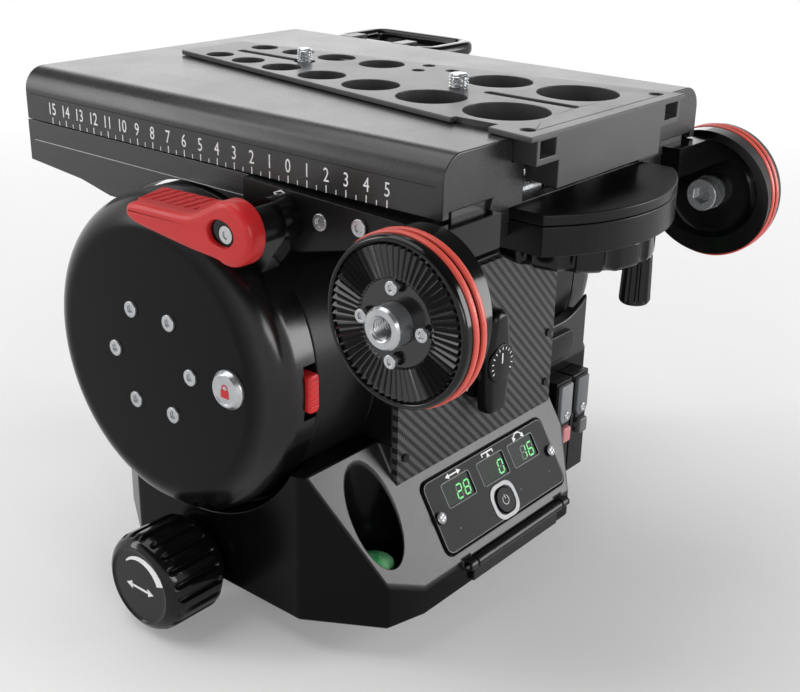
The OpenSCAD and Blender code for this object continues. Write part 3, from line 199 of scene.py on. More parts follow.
def eased(points, radius, steps=5):
    """A polyline with each inner corner replaced by a quadratic blend over the radius on both sides."""
    points = np.asarray(points, float)
    out = [points[:1]]
    s = np.linspace(0.0, 1.0, steps)[:, None]
    for before, here, after in zip(points[:-2], points[1:-1], points[2:]):
        a, b = before - here, after - here
        la, lb = np.linalg.norm(a), np.linalg.norm(b)
        ra, rb = min(radius, la * 0.49), min(radius, lb * 0.49)
        p, q = here + a / la * ra, here + b / lb * rb
        out.append((1 - s) ** 2 * p + 2 * s * (1 - s) * here + s ** 2 * q)
    out.append(points[-1:])
    return np.concatenate(out)


def eased_loop(points, radius, steps=5):
    """A closed polygon with every corner eased."""
    points = np.asarray(points, float)
    wrapped = np.concatenate([points[-1:], points, points[:1]])
    return eased(wrapped, radius, steps)[1:-1]


def resampled(points, gap):
    """A polyline whose straight parts are divided evenly, so that no step is longer than gap."""
    points = np.asarray(points, float)
    counts = np.maximum(np.ceil(np.linalg.norm(np.diff(points, axis=0), axis=1) / gap).astype(int), 1)
    s = np.concatenate([i + np.arange(n) / n for i, n in enumerate(counts)] + [[len(points) - 1]])
    return np.stack([np.interp(s, np.arange(len(points)), points[:, k]) for k in range(2)], -1)


def smooth(value, low, high):
    """Cubic step from 0 at low to 1 at high."""
    s = np.clip((value - low) / (high - low), 0.0, 1.0)
    return s * s * (3.0 - 2.0 * s)


def flutes(count, depth, low, high, narrow, fade=3.0):
    """Cut for turned(): -depth where cos(count t) exceeds narrow, faded out towards low and high."""
    def cut(t, h):
        groove = np.clip((np.cos(count * t) - narrow) / (1.0 - narrow), 0.0, 1.0) ** 0.7
        return -depth * groove * smooth(h, low, low + fade) * (1.0 - smooth(h, high - fade, high))
    return cut


def outline_normals(outline):
    """Outward unit normals of a closed counter-clockwise outline, from the chord of both neighbours."""
    chord = np.roll(outline, -1, 0) - np.roll(outline, 1, 0)
    normal = np.stack([chord[:, 1], -chord[:, 0]], -1)
    return normal / np.maximum(np.linalg.norm(normal, axis=1, keepdims=True), 1e-9)


def slab(outline, low, high, edge=0.3, steps=4, foot=0.0):
    """Rings of a flat piece with its upper edge rounded by a quarter circle, and its lower one by foot."""
    outline = np.asarray(outline, float)
    a = np.linspace(0.0, QUARTER, steps)
    inset = np.concatenate([foot * (1 - np.sin(a)) if foot else [0.0], edge * (1 - np.cos(a))])
    height = np.concatenate([low + foot * (1 - np.cos(a)) if foot else [low], high - edge + edge * np.sin(a)])
    flat = outline[None] - outline_normals(outline)[None] * inset[:, None, None]
    return lifted(flat, height[:, None])


def band(outer, inner, low, high):
    """Rings of a flat closed band between two outlines of equal point count; joined as a loop."""
    return np.stack([lifted(outer, low), lifted(outer, high), lifted(inner, high), lifted(inner, low)])


def helix(radius, depth, pitch, low, high, steps):
    """Screw thread as a sheet over turn t and rise h: r = radius - depth * tri(h / pitch - t / tau)."""
    crest, rows_per_turn, run_out = 0.18, 8, 0.35 * pitch
    h = np.linspace(low, high, max(int((high - low) / pitch * rows_per_turn), 8))[:, None]
    t = around(steps)[None, :]
    phase = np.mod(h / pitch - t / TAU, 1.0)
    wave = np.clip((np.abs(phase * 2 - 1) - crest) / (1 - 2 * crest), 0.0, 1.0)
    fade = np.clip(np.minimum(h - low, high - h) / run_out, 0.0, 1.0)
    r = radius - depth * (1 - wave * fade) if depth > 0 else radius - depth * wave * fade
    return lifted(oval(t, r, r), h)


def toothed_disc(inner, root, tip, outer, depth, teeth, back):
    """Disc over radius and turn t: height -depth + depth lift(r) wave(teeth t), wave a clipped triangle."""
    t = around(teeth * 8)[None, :]
    floor, middle = depth + 0.2, 0.5 * (root + tip)
    r = np.array([inner, inner, root - 0.9, root - 0.2, root + 0.5, middle, tip - 0.5, tip, outer, outer])
    low = -np.array([back, floor, floor, floor, depth, depth, depth, depth + 0.1, depth + 0.6, back])
    lift = np.array([0.0, 0.0, 0.0, 0.0, 0.62, 0.82, 1.0, 0.0, 0.0, 0.0])
    wave = np.clip(np.abs(np.mod(t / TAU * teeth, 1.0) * 2.0 - 1.0) * 1.1 - 0.05, 0.0, 1.0)
    return lifted(oval(t, r[:, None], r[:, None]), low[:, None] + depth * lift[:, None] * wave)


# Printed marks

def figures(text, height, thick):
    """Mesh data of plain numbers: a font curve turned into a mesh, centred on its middle, in millimetres."""
    size_per_height, narrow = 1.38, (0.8, 1.0, 1.0)
    curve = bpy.data.curves.new("figures", "FONT")
    curve.body, curve.size, curve.extrude = text, height * size_per_height, thick / 2
    curve.align_x, curve.align_y, curve.resolution_u = "CENTER", "CENTER", 3
    holder = bpy.data.objects.new("figures", curve)
    bpy.context.scene.collection.objects.link(holder)
    mesh = bpy.data.meshes.new_from_object(holder.evaluated_get(bpy.context.evaluated_depsgraph_get()))
    points = np.empty(len(mesh.vertices) * 3)
    mesh.vertices.foreach_get("co", points)
    mesh.calc_loop_triangles()
    faces = np.empty(len(mesh.loop_triangles) * 3, np.int32)
    mesh.loop_triangles.foreach_get("vertices", faces)
    bpy.data.objects.remove(holder)
    bpy.data.curves.remove(curve)
    bpy.data.meshes.remove(mesh)
    return points.reshape(-1, 3) * narrow, faces.reshape(-1, 3)


def bar(length, width, thick):
    """Rings of a printed stroke, centred, with its upper edges eased."""
    return slab(oval_rect(length, width, min(length, width) * 0.2, 3), 0.0, thick, thick * 0.5, 2)


def arc_band(radius, width, start, sweep, thick, taper=0.0):
    """Rings of a printed arc: radius to radius + width, its width growing from width to width + taper."""
    s = np.linspace(0.0, 1.0, 40)
    a = np.radians(start + sweep * s)
    reach = radius + width + taper * s
    line = np.concatenate([oval(a, reach, reach), oval(a, radius, radius)[::-1]])
    return slab(line, 0.0, thick, thick * 0.3, 2)


def arrow_head(reach, back, half, thick):
    """Rings of a printed arrow head that points along u."""
    return slab([[-back, -half], [-back, half], [reach, 0.0]], 0.0, thick, 0.02, 2)


def double_arrow(length, width, thick, tip, reach):
    """A printed stroke and an arrow head at each end, at the reach from its middle."""
    return bar(length, width, thick), moved(tip, reach), moved(spun(tip, 180.0), -reach)


# Finishes

class Nodes:
    """A node tree, and one way to add to it."""

    def __init__(self, tree):
        self.tree = tree

    def node(self, kind, inputs=None, **values):
        """A new node with its properties set and its inputs linked to other nodes or filled."""
        made = self.tree.nodes.new(kind)
        for key, value in values.items():
            setattr(made, key, value)
        for key, value in (inputs or {}).items():
            if isinstance(value, bpy.types.NodeSocket):
                self.tree.links.new(value, made.inputs[key])
            else:
                made.inputs[key].default_value = value
        return made

    def spread(self, field, low, high, start=0.3, stop=0.7, **values):
        """The field's range from start to stop mapped to low..high."""
        inputs = {"Value": field, "From Min": start, "From Max": stop, "To Min": low, "To Max": high}
        return self.node("ShaderNodeMapRange", inputs, **values).outputs["Result"]


class Finish(Nodes):
    """A node material: helpers that link texture fields on Object coordinates to the shader's sockets."""

    def __init__(self, name, colour, rough, **sockets):
        self.material = bpy.data.materials.new(name)
        self.material.use_nodes = True
        super().__init__(self.material.node_tree)
        self.shader = self.tree.nodes["Principled BSDF"]
        self.shader.inputs["Base Color"].default_value = (*colour, 1.0)
        self.shader.inputs["Roughness"].default_value = rough
        for key, value in sockets.items():
            self.shader.inputs[key.replace("_", " ")].default_value = value
        self.coord = self.node("ShaderNodeTexCoord").outputs["Object"]

    def drive(self, **sockets):
        """Links fields to the shader's sockets of those names."""
        for key, field in sockets.items():
            self.tree.links.new(field, self.shader.inputs[key.replace("_", " ")])

    def axes(self):
        """The three Object coordinates by their letters."""
        return self.node("ShaderNodeSeparateXYZ", {"Vector": self.coord}).outputs

    def noise(self, scale, detail=3.0, stretch=(1, 1, 1), rough=0.55):
        """A noise field of that scale per metre, drawn out along the axes."""
        place = self.node("ShaderNodeMapping", {"Vector": self.coord, "Scale": stretch}).outputs["Vector"]
        inputs = {"Vector": place, "Scale": scale, "Detail": detail, "Roughness": rough}
        return self.node("ShaderNodeTexNoise", inputs).outputs["Fac"]

    def tones(self, field, dark, light, start=0.3, stop=0.7):
        """A colour ramp from dark to light over the field's range from start to stop."""
        ramp = self.node("ShaderNodeValToRGB", {"Fac": field})
        for element, at, colour in zip(ramp.color_ramp.elements, (start, stop), (dark, light)):
            element.position, element.color = at, (*colour, 1.0)
        return ramp.outputs["Color"]

    def math(self, operation, a, b=0.0):
        """Two fields, or a field and a number, in one sum."""
        return self.node("ShaderNodeMath", {0: a, 1: b}, operation=operation).outputs["Value"]

    def blend(self, a, b):
        """The field 0.6 a + 0.4 b."""
        return self.math("ADD", self.math("MULTIPLY", a, 0.6), self.math("MULTIPLY", b, 0.4))

    def bump(self, height, strength, depth_mm):
        """Relief of the field's height."""
        inputs = {"Height": height, "Strength": strength, "Distance": depth_mm * MM}
        self.drive(Normal=self.node("ShaderNodeBump", inputs).outputs["Normal"])


CLOUDS = 38.0


def shade(colour, factor):
    """A colour times a factor, kept in range."""
    return tuple(min(max(c * factor, 0.0), 1.0) for c in colour)


def coated(name, colour, rough, grain, depth, spec=0.5, vary=0.35, metal=0.0):
    """Paint, anodising or moulded plastic: a fine grain relief, cloudy tone and patchy gloss."""
    f = Finish(name, colour, rough, Specular_IOR_Level=spec, Metallic=metal)
    fine = f.noise(grain)
    cloud = f.noise(CLOUDS)
    f.drive(Base_Color=f.tones(cloud, shade(colour, 1 - vary), shade(colour, 1 + vary)))
    f.drive(Roughness=f.spread(f.blend(fine, cloud), rough * 0.82, rough * 1.2))
    f.bump(fine, 0.25, depth)
    return f


def cloudy(name, colour, rough, scale, tones, gloss, spec):
    """Clear or tinted plastic: slow clouds in tone and gloss, no relief."""
    f = Finish(name, colour, rough, Specular_IOR_Level=spec)
    cloud = f.noise(scale, 2.0)
    f.drive(Base_Color=f.tones(cloud, *tones))
    f.drive(Roughness=f.spread(cloud, *gloss))
    return f


def make_finishes(look):
    """All the finishes of the head, by their plain names."""
    black, grey = tuple(look.black), tuple(look.grey)
    # Name, colour, roughness, grain per metre, relief in millimetres, specular, variation of tone, metal
    coats = {
        "cast": ("Cast housing paint", shade(black, 0.5), 0.34, 1500.0, 0.05, 0.36, 0.25),
        "ridge": ("Gloss black ridges", shade(black, 0.4), 0.14, 700.0, 0.003, 0.65, 0.2),
        "satin": ("Satin black anodising", shade(black, 0.45), 0.3, 2600.0, 0.015, 0.2, 0.25),
        "gloss": ("Gloss black lacquer", shade(black, 0.3), 0.12, 700.0, 0.004, 0.3, 0.2),
        "moulded": ("Moulded black plastic", shade(black, 0.35), 0.24, 2200.0, 0.015, 0.2, 0.25),
        "deck": ("Platform anodising", tuple(look.deck), 0.28, 3200.0, 0.012, 0.42, 0.1),
        "plate": ("Wedge plate anodising", tuple(look.plate), 0.33, 2600.0, 0.016, 0.36, 0.12),
        "red": ("Red satin lacquer", tuple(look.red), 0.32, 1400.0, 0.01, 0.3, 0.06),
        "coral": ("Coral ring lacquer", tuple(look.coral), 0.3, 1400.0, 0.01, 0.4, 0.06),
        "pink": ("Pink slider", tuple(look.pink), 0.4, 1400.0, 0.02, 0.4, 0.08),
        "grey": ("Grey slider", (0.1, 0.1, 0.102), 0.42, 1800.0, 0.02, 0.4, 0.08),
        "tag": ("Pale tag", grey, 0.4, 1800.0, 0.015, 0.4, 0.1),
        "tag_dark": ("Dark tag", shade(grey, 0.5), 0.4, 1800.0, 0.015, 0.4, 0.1),
        "bronze": ("Drag bronze", (0.42, 0.27, 0.1), 0.35, 900.0, 0.02, 0.5, 0.15, 0.9),
        "board": ("Circuit board", (0.02, 0.12, 0.05), 0.4, 700.0, 0.02),
        "cell": ("Battery wrap", (0.35, 0.12, 0.02), 0.35, 600.0, 0.01),
        "film": ("Display film", (0.013, 0.0135, 0.015), 0.34, 2400.0, 0.01, 0.06, 0.12),
        "ink": ("White marking ink", tuple(look.ink), 0.5, 3000.0, 0.01, 0.3, 0.05),
        "ink_grey": ("Pale grey marking ink", (0.5, 0.5, 0.51), 0.5, 3000.0, 0.01, 0.3, 0.05),
        "ink_dim": ("Dim grey line", (0.14, 0.14, 0.145), 0.45, 3000.0, 0.01, 0.3, 0.05),
        "unlit": ("Unlit segment", (0.006, 0.035, 0.012), 0.3, 2000.0, 0.005, 0.3, 0.1),
        # The bubble's pale colour is a painted highlight
        "bubble": ("Air bubble", (0.7, 0.95, 0.68), 0.1, 600.0, 0.002, 0.9, 0.05),
        "screw": ("Dull screw steel", (0.3, 0.3, 0.31), 0.34, 900.0, 0.004, 0.5, 0.12, 0.7),
    }
    made = {key: coated(*row) for key, row in coats.items()}
    made["housing"] = housing_finish(black)
    made["cap"] = cap_finish(black)
    made["skirt"] = skirt_finish(shade(black, 1.6))
    made["steel"] = steel_finish()
    made["carbon"] = carbon_finish()
    made["digit"] = digit_finish(tuple(look.digit))
    made["window"] = cloudy("Tinted display window", (0.003, 0.01, 0.005), 0.2, 160.0,
                            ((0.003, 0.007, 0.004), (0.004, 0.014, 0.007)), (0.08, 0.2), 0.06)
    made["vial"] = cloudy("Green spirit vial", (0.06, 0.6, 0.16), 0.08, 150.0,
                          ((0.07, 0.6, 0.17), (0.35, 0.9, 0.45), 0.35, 0.65), (0.05, 0.12), 0.6)
    return {key: f.material for key, f in made.items()}


def skirt_finish(colour):
    """Metal with fine parallel brush lines: noise drawn out along Y."""
    rough, stretch = 0.3, (1400.0, 14.0, 1400.0)
    f = Finish("Brushed cradle skirt", colour, rough, Specular_IOR_Level=0.5)
    lines = f.noise(1.0, 5.0, stretch, rough=0.7)
    broad = f.noise(0.18, 3.0, stretch)
    f.drive(Base_Color=f.tones(lines, shade(colour, 0.72), shade(colour, 1.35)))
    f.drive(Roughness=f.spread(f.blend(lines, broad), rough * 0.75, rough * 1.3))
    f.bump(lines, 0.4, 0.02)
    return f


def steel_finish():
    """Bright plated steel: fine turning marks in tone and gloss."""
    f = Finish("Plated steel", (0.45, 0.46, 0.48), 0.3, Metallic=0.8)
    marks = f.noise(900.0, 4.0)
    f.drive(Base_Color=f.tones(f.noise(120.0, 2.0), (0.42, 0.43, 0.45), (0.52, 0.53, 0.54)))
    f.drive(Roughness=f.spread(marks, 0.2, 0.28))
    f.bump(marks, 0.1, 0.004)
    return f


def cap_finish(black):
    """Black cap with a satin face and a polished rim: the mask runs along X over the rim's rounding."""
    f = Finish("Polished black cap", shade(black, 0.25), 0.2, Specular_IOR_Level=0.3)
    rim = f.spread(f.axes()["X"], 0.0, 1.0, -121.4 * MM, -118.5 * MM)
    fine = f.noise(900.0)
    f.drive(Base_Color=f.tones(fine, shade(black, 0.2), shade(black, 0.3)))
    f.drive(Roughness=f.math("ADD", f.spread(rim, 0.22, 0.17, 0.0, 1.0), f.spread(fine, 0.0, 0.04)))
    f.drive(Specular_IOR_Level=f.spread(rim, 0.09, 0.42, 0.0, 1.0))
    f.bump(fine, 0.25, 0.005)
    return f


def housing_finish(black):
    """Black paint, finer on the slanted face, greyer there as a painted sheen and darker elsewhere as painted
    shade: the mask is the distance to that face's plane.
    """
    f = Finish("Cast housing paint", shade(black, 0.4), 0.3, Specular_IOR_Level=0.3)
    plane = f.node("ShaderNodeVectorMath", {0: f.coord, 1: SLANT_OUT.tolist()}, operation="DOT_PRODUCT")
    level = float(SLANT_FOOT @ SLANT_OUT) * MM
    face = f.spread(plane.outputs["Value"], 0.0, 1.0, level - 1.2 * MM, level - 0.3 * MM)
    fine = f.noise(1500.0)
    # Fine grain on the slanted face; its lighter tone there is a painted sheen and the darker tone off it is
    # painted shade
    grain = f.math("MULTIPLY", face, f.spread(fine, 0.7, 1.0))
    f.drive(Base_Color=f.tones(grain, shade(black, 0.18), shade(black, 0.7), 0.0, 1.0))
    f.drive(Roughness=f.math("ADD", f.spread(face, 0.2, 0.3, 0.0, 1.0), f.spread(fine, 0.0, 0.08)))
    f.drive(Specular_IOR_Level=f.spread(face, 0.1, 0.4, 0.0, 1.0))
    f.bump(fine, 0.25, 0.05)
    return f


def carbon_finish():
    """Two by two twill on X and Z: cell sums in fours make stepped diagonals, each tow with its strands."""
    tow, strand_scale, strand_length = 1.3 * MM, 6500.0, 350.0
    above_zero = 60.0
    f = Finish("Carbon fibre twill", (0.05, 0.05, 0.055), 0.34, Specular_IOR_Level=0.2, Coat_Weight=0.12,
               Coat_Roughness=0.12)
    axes = f.axes()
    col, row = (f.math("FLOOR", f.math("DIVIDE", axes[key], tow)) for key in "XZ")
    quarter = f.math("FRACT", f.math("ADD", f.math("DIVIDE", f.math("ADD", col, row), 4.0), above_zero))
    over = f.math("LESS_THAN", quarter, 0.48)
    strand = f.noise(1.0, 3.0, (strand_scale, strand_length, strand_length))
    cross = f.noise(1.0, 3.0, (strand_length, strand_length, strand_scale))
    under = f.math("SUBTRACT", 1.0, over)
    thread = f.math("ADD", f.math("MULTIPLY", strand, over), f.math("MULTIPLY", cross, under))
    tone = f.blend(over, thread)
    f.drive(Base_Color=f.tones(tone, (0.004, 0.004, 0.0045), (0.075, 0.075, 0.078), 0.12, 0.9))
    f.drive(Roughness=f.spread(over, 0.5, 0.3, 0.0, 1.0))
    f.bump(thread, 0.3, 0.015)
    return f


def digit_finish(colour):
    """Lit segments: green with a little unevenness along each bar."""
    f = Finish("Lit segment", shade(colour, 0.6), 0.4, Emission_Strength=0.32)
    f.drive(Emission_Color=f.tones(f.noise(700.0, 2.0), shade(colour, 0.8), colour))
    return f


# Finish of the CAD nodes, and how far their edges are eased, in millimetres
NODE_LOOKS = {
    ("steel", 0.0): "pan_spindle spindle_screws spindle_nut pan_bearings tilt_bearings hinge_pin tilt_shaft "
                    "tilt_drag_rotor clamp_screw camera_screws lever_screw crank_gear pinion",
    ("steel", 0.3): "side_screws rosette_screws",
    ("steel", 0.4): "bar_bushes cup_bolts",
    ("steel", 0.8): "lock_button",
    ("satin", 0.0): "spring_cassette panel_screws rack",
    ("satin", 0.6): "crank_plate gear_cover",
    ("satin", 0.8): "base_plate tilt_housing left_arm",
    ("deck", 0.6): "platform",
    ("deck", 0.8): "right_arm",
    ("gloss", 0.0): "left_cup right_cup rosettes release_bail",
    ("moulded", 0.0): "pan_drag_knob tilt_drag_knob crank_knob crank_grip",
    ("moulded", 0.3): "dial_plate",
    ("moulded", 0.6): "brake_boxes",
    ("moulded", 0.8): "counterbalance_knob",
    ("film", 0.4): "display_panel power_button",
    ("bronze", 0.0): "pan_drag_cartridge tilt_drag_stator",
    ("red", 0.3): "drum_latch",
    ("red", 1.2): "lock_lever",
    ("cast", 0.0): "right_cap",
    ("cast", 0.4): "battery_door",
    ("housing", 1.2): "pan_housing",
    ("skirt", 0.15): "cradle",
    ("plate", 0.4): "camera_plate",
    ("pink", 0.6): "pan_brake_slider",
    ("grey", 0.6): "tilt_brake_slider",
    ("carbon", 0.0): "carbon_panel",
    ("window", 0.0): "display_windows",
    ("board", 0.0): "display_board",
    ("vial", 0.0): "level_vial",
    ("cell", 0.0): "battery",
    ("cap", 0.0): "left_cap",
    ("coral", 0.0): "red_rings",
}
LOOK_OF = {node: look for look, nodes in NODE_LOOKS.items() for node in nodes.split()}
HOLED = ("camera_plate",)
FINISHES = {}


def finish(name):
    """The finish of that name, made once."""
    if not FINISHES:
        FINISHES.update(make_finishes(bpy.context.scene.head_looks))
    return FINISHES[name]


def ease_edges(obj, width):
    """Rounds a CAD node's edges by modifiers: weld triangles, join flat ones, bevel, weight the normals."""
    weld = obj.modifiers.new("weld", "WELD")
    weld.merge_threshold = 0.01 * MM
    if obj.name not in HOLED:
        flat = obj.modifiers.new("flat", "DECIMATE")
        flat.decimate_type, flat.angle_limit = "DISSOLVE", math.radians(0.6)
    bevel = obj.modifiers.new("edge", "BEVEL")
    bevel.width, bevel.segments = width * MM, 3
    bevel.limit_method, bevel.angle_limit = "ANGLE", math.radians(30.0)
    bevel.use_clamp_overlap, bevel.harden_normals = False, False
    even = obj.modifiers.new("even", "WEIGHTED_NORMAL")
    even.keep_sharp, even.weight = False, 60


# Settings

def colour_setting(name, description, default):
    """A colour that can be set on the panel."""
    return bpy.props.FloatVectorProperty(name=name, description=description, subtype="COLOR", size=3,
                                         min=0, max=1, default=default)


class HeadLooks(bpy.types.PropertyGroup):
    """Colours of the head's looks."""
    black: colour_setting("Black", "Paint of the castings", (0.012, 0.012, 0.0125))
    deck: colour_setting("Deck", "Anodising of the platform", (0.022, 0.022, 0.0225))
    plate: colour_setting("Plate", "Anodising of the wedge plate", (0.045, 0.045, 0.047))
    red: colour_setting("Red", "Lacquer of lever and latch", (0.52, 0.02, 0.021))
    coral: colour_setting("Coral", "Lacquer of the cup rings", (0.62, 0.085, 0.062))
    pink: colour_setting("Pink", "Pan brake slider", (0.5, 0.19, 0.2))
    grey: colour_setting("Grey", "Tags of the brake sliders", (0.2, 0.205, 0.22))
    ink: colour_setting("Ink", "Printed scale and marks", (0.78, 0.78, 0.78))
    digit: colour_setting("Digits", "Lit display segments", (0.12, 0.85, 0.2))


# Operators

class HEAD_OT_finishes(bpy.types.Operator):
    """Gives every CAD node its finish and its eased edges"""
    bl_idname = "head.finishes"
    bl_label = "Finishes"

    def execute(self, context):
        for name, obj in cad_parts.items():
            key, ease = LOOK_OF[name]
            obj.data.materials.clear()
            obj.data.materials.append(finish(key))
            if ease:
                ease_edges(obj, ease)
        return {"FINISHED"}


class HEAD_OT_stage(bpy.types.Operator):
    """Pale floor, white surround, soft lamps and the camera at the photograph's angle"""
    bl_idname = "head.stage"
    bl_label = "Stage"
    # Name, place and aim in metres, width, height, watts
    LAMPS = (("Top softbox", (-0.2, 0.45, 1.35), (0.0, 0.0, 0.15), 1.4, 1.0, 11.0),
             ("Right rear softbox", (1.2, -1.3, 0.5), (0.0, 0.0, 0.1), 1.0, 0.8, 19.0),
             ("Left front softbox", (-1.05, 1.4, 0.78), (0.0, 0.0, 0.2), 1.5, 0.34, 9.5),
             ("Back softbox", (1.3, 1.25, 0.55), (0.0, 0.0, 0.22), 1.4, 1.5, 7.0),
             ("Rear strip", (-0.65, -1.65, 0.6), (0.0, 0.0, 0.12), 0.35, 0.9, 7.0))
    # The camera that was fitted to the scale's ticks and the platform's corners
    LENS = 55.447
    EYE = (-424.271, -382.218, 329.037)
    RIGHT = (0.639234, -0.768782, 0.018841)
    DOWN = (-0.28297, -0.257926, -0.923797)
    AHEAD = (0.715058, 0.585191, -0.382418)

    def execute(self, context):
        scene = context.scene
        scene.view_settings.view_transform = "Standard"
        self.floor()
        self.world(scene)
        for lamp in self.LAMPS:
            self.lamp(*lamp)
        self.camera(scene)
        return {"FINISHED"}

    def floor(self):
        """A disc of rings whose rim is far outside the view; it fades to white with the distance."""
        r = np.array([0.0, 0.2, 0.5, 1.0, 2.5, 5.0])[:, None] * 1000
        below = -0.4
        shape = Shape().rings(lifted(oval(around(96)[None, :], r, r), below), caps=False)
        mesh = bpy.data.meshes.new("Floor")
        mesh.from_pydata((np.concatenate(shape.verts) * MM).tolist(), [], shape.faces[0].tolist())
        obj = bpy.data.objects.new("Floor", mesh)
        bpy.context.scene.collection.objects.link(obj)
        f = Finish("Pale floor", (0.86, 0.86, 0.86), 0.7, Specular_IOR_Level=0.1)
        f.drive(Base_Color=f.tones(f.noise(6.0, 2.0), (0.85, 0.85, 0.85), (0.88, 0.88, 0.88)))
        reach = f.node("ShaderNodeVectorMath", {0: f.coord}, operation="LENGTH").outputs["Value"]
        ray = f.node("ShaderNodeLightPath").outputs
        seen = f.math("MAXIMUM", ray["Is Camera Ray"], ray["Is Glossy Ray"])
        seen = f.math("MAXIMUM", seen, ray["Is Transmission Ray"])
        far = f.math("MULTIPLY", seen, f.spread(reach, 0.15, 1.0, 0.3, 1.0))
        white = f.node("ShaderNodeEmission").outputs["Emission"]
        blend = f.node("ShaderNodeMixShader", {"Fac": far, 1: f.shader.outputs["BSDF"], 2: white})
        f.tree.links.new(blend.outputs["Shader"], f.tree.nodes["Material Output"].inputs["Surface"])
        mesh.materials.append(f.material)

    def world(self, scene):
        """White from below up to about 20 degrees above the horizon, then falling to a dim ceiling."""
        world = scene.world or bpy.data.worlds.new("Studio")
        scene.world = world
        world.use_nodes = True
        world.node_tree.nodes.clear()
        sky = Nodes(world.node_tree)
        way = sky.node("ShaderNodeTexCoord").outputs["Generated"]
        height = sky.node("ShaderNodeSeparateXYZ", {"Vector": way}).outputs["Z"]
        level = sky.spread(height, 1.0, 0.07, 0.3, 0.56, interpolation_type="SMOOTHSTEP")
        back = sky.node("ShaderNodeBackground", {"Color": (1.0, 1.0, 1.0, 1.0), "Strength": level})
        sky.node("ShaderNodeOutputWorld", {"Surface": back.outputs["Background"]})

    def lamp(self, name, at, aim, width, height, power):
        """A soft rectangle of light that looks at the aim."""
        data = bpy.data.lights.new(name, "AREA")
        data.shape, data.size, data.size_y, data.energy = "RECTANGLE", width, height, power
        obj = bpy.data.objects.new(name, data)
        bpy.context.scene.collection.objects.link(obj)
        back = np.subtract(at, aim)
        back = back / np.linalg.norm(back)
        side = np.cross([0.0, 1.0, 0.001], back)
        side /= np.linalg.norm(side)
        self.stand(obj, side, np.cross(back, side), back, at)

    def camera(self, scene):
        """The fitted camera."""
        data = bpy.data.cameras.new("Camera")
        data.sensor_width, data.lens = 36.0, self.LENS
        data.clip_start, data.clip_end = 0.02, 30.0
        obj = bpy.data.objects.new("Camera", data)
        scene.collection.objects.link(obj)
        self.stand(obj, self.RIGHT, np.negative(self.DOWN), np.negative(self.AHEAD), np.array(self.EYE) * MM)
        scene.camera = obj

    def stand(self, obj, right, up, back, at):
        """Puts a lamp or the camera at a place, with its three axes."""
        matrix = np.eye(4)
        matrix[:3] = np.stack([right, up, back, at], -1)
        obj.matrix_world = Matrix(matrix.tolist())


class HEAD_OT_scale(bpy.types.Operator):
    """Centimetre scale along the platform's side, its fine lines, and the pointer under it"""
    bl_idname = "head.scale"
    bl_label = "Scale"
    INK = 0.07
    FIRST, LAST = -5, 15

    def execute(self, context):
        shape = Shape()
        for centimetre in range(self.FIRST, self.LAST + 1):
            y = SCALE_ZERO_Y + 10.0 * centimetre
            points, faces = figures(str(abs(centimetre)), 5.6, 0.1)
            shape.add(self.on_side(points, y, 211.0, SCALE_X - 0.02), faces)
            shape.rings(self.on_side(bar(0.5, 2.9, self.INK), y, 205.9))
            if centimetre < self.LAST:
                shape.rings(self.on_side(bar(0.4, 1.9, self.INK), y + 5.0, 205.5))
        shape.build("scale_marks", "ink", "platform", "plate_grey")
        seam = self.on_side(bar(238.0, 0.45, 0.06), -7.4, 216.2)
        Shape().rings(seam).build("side_seam", "gloss", "platform", "plate_grey")
        thread = self.on_side(bar(140.0, 0.3, 0.05), 41.0, 194.8)
        Shape().rings(thread).build("skirt_line", "ink_grey", "tilt", "black_satin")
        wedge = np.array([[0.0, 1.3], [-4.2, -0.6], [-3.4, -1.4], [3.4, -1.4], [4.2, -0.6]])
        rim = band(wedge, wedge * (0.72, 0.5) - (0.0, 0.12), 0.0, 0.06)
        pointer = Shape().rings(self.on_side(rim, SCALE_ZERO_Y, 201.4, POINTER_X), loop=True)
        pointer.build("scale_pointer", "ink", "tilt", "black_satin")
        return {"FINISHED"}

    def on_side(self, points, y, z, x=SCALE_X):
        """Local points put on the platform's left side."""
        return seat((x, y, z), -Y_AXIS, Z_AXIS)(points)


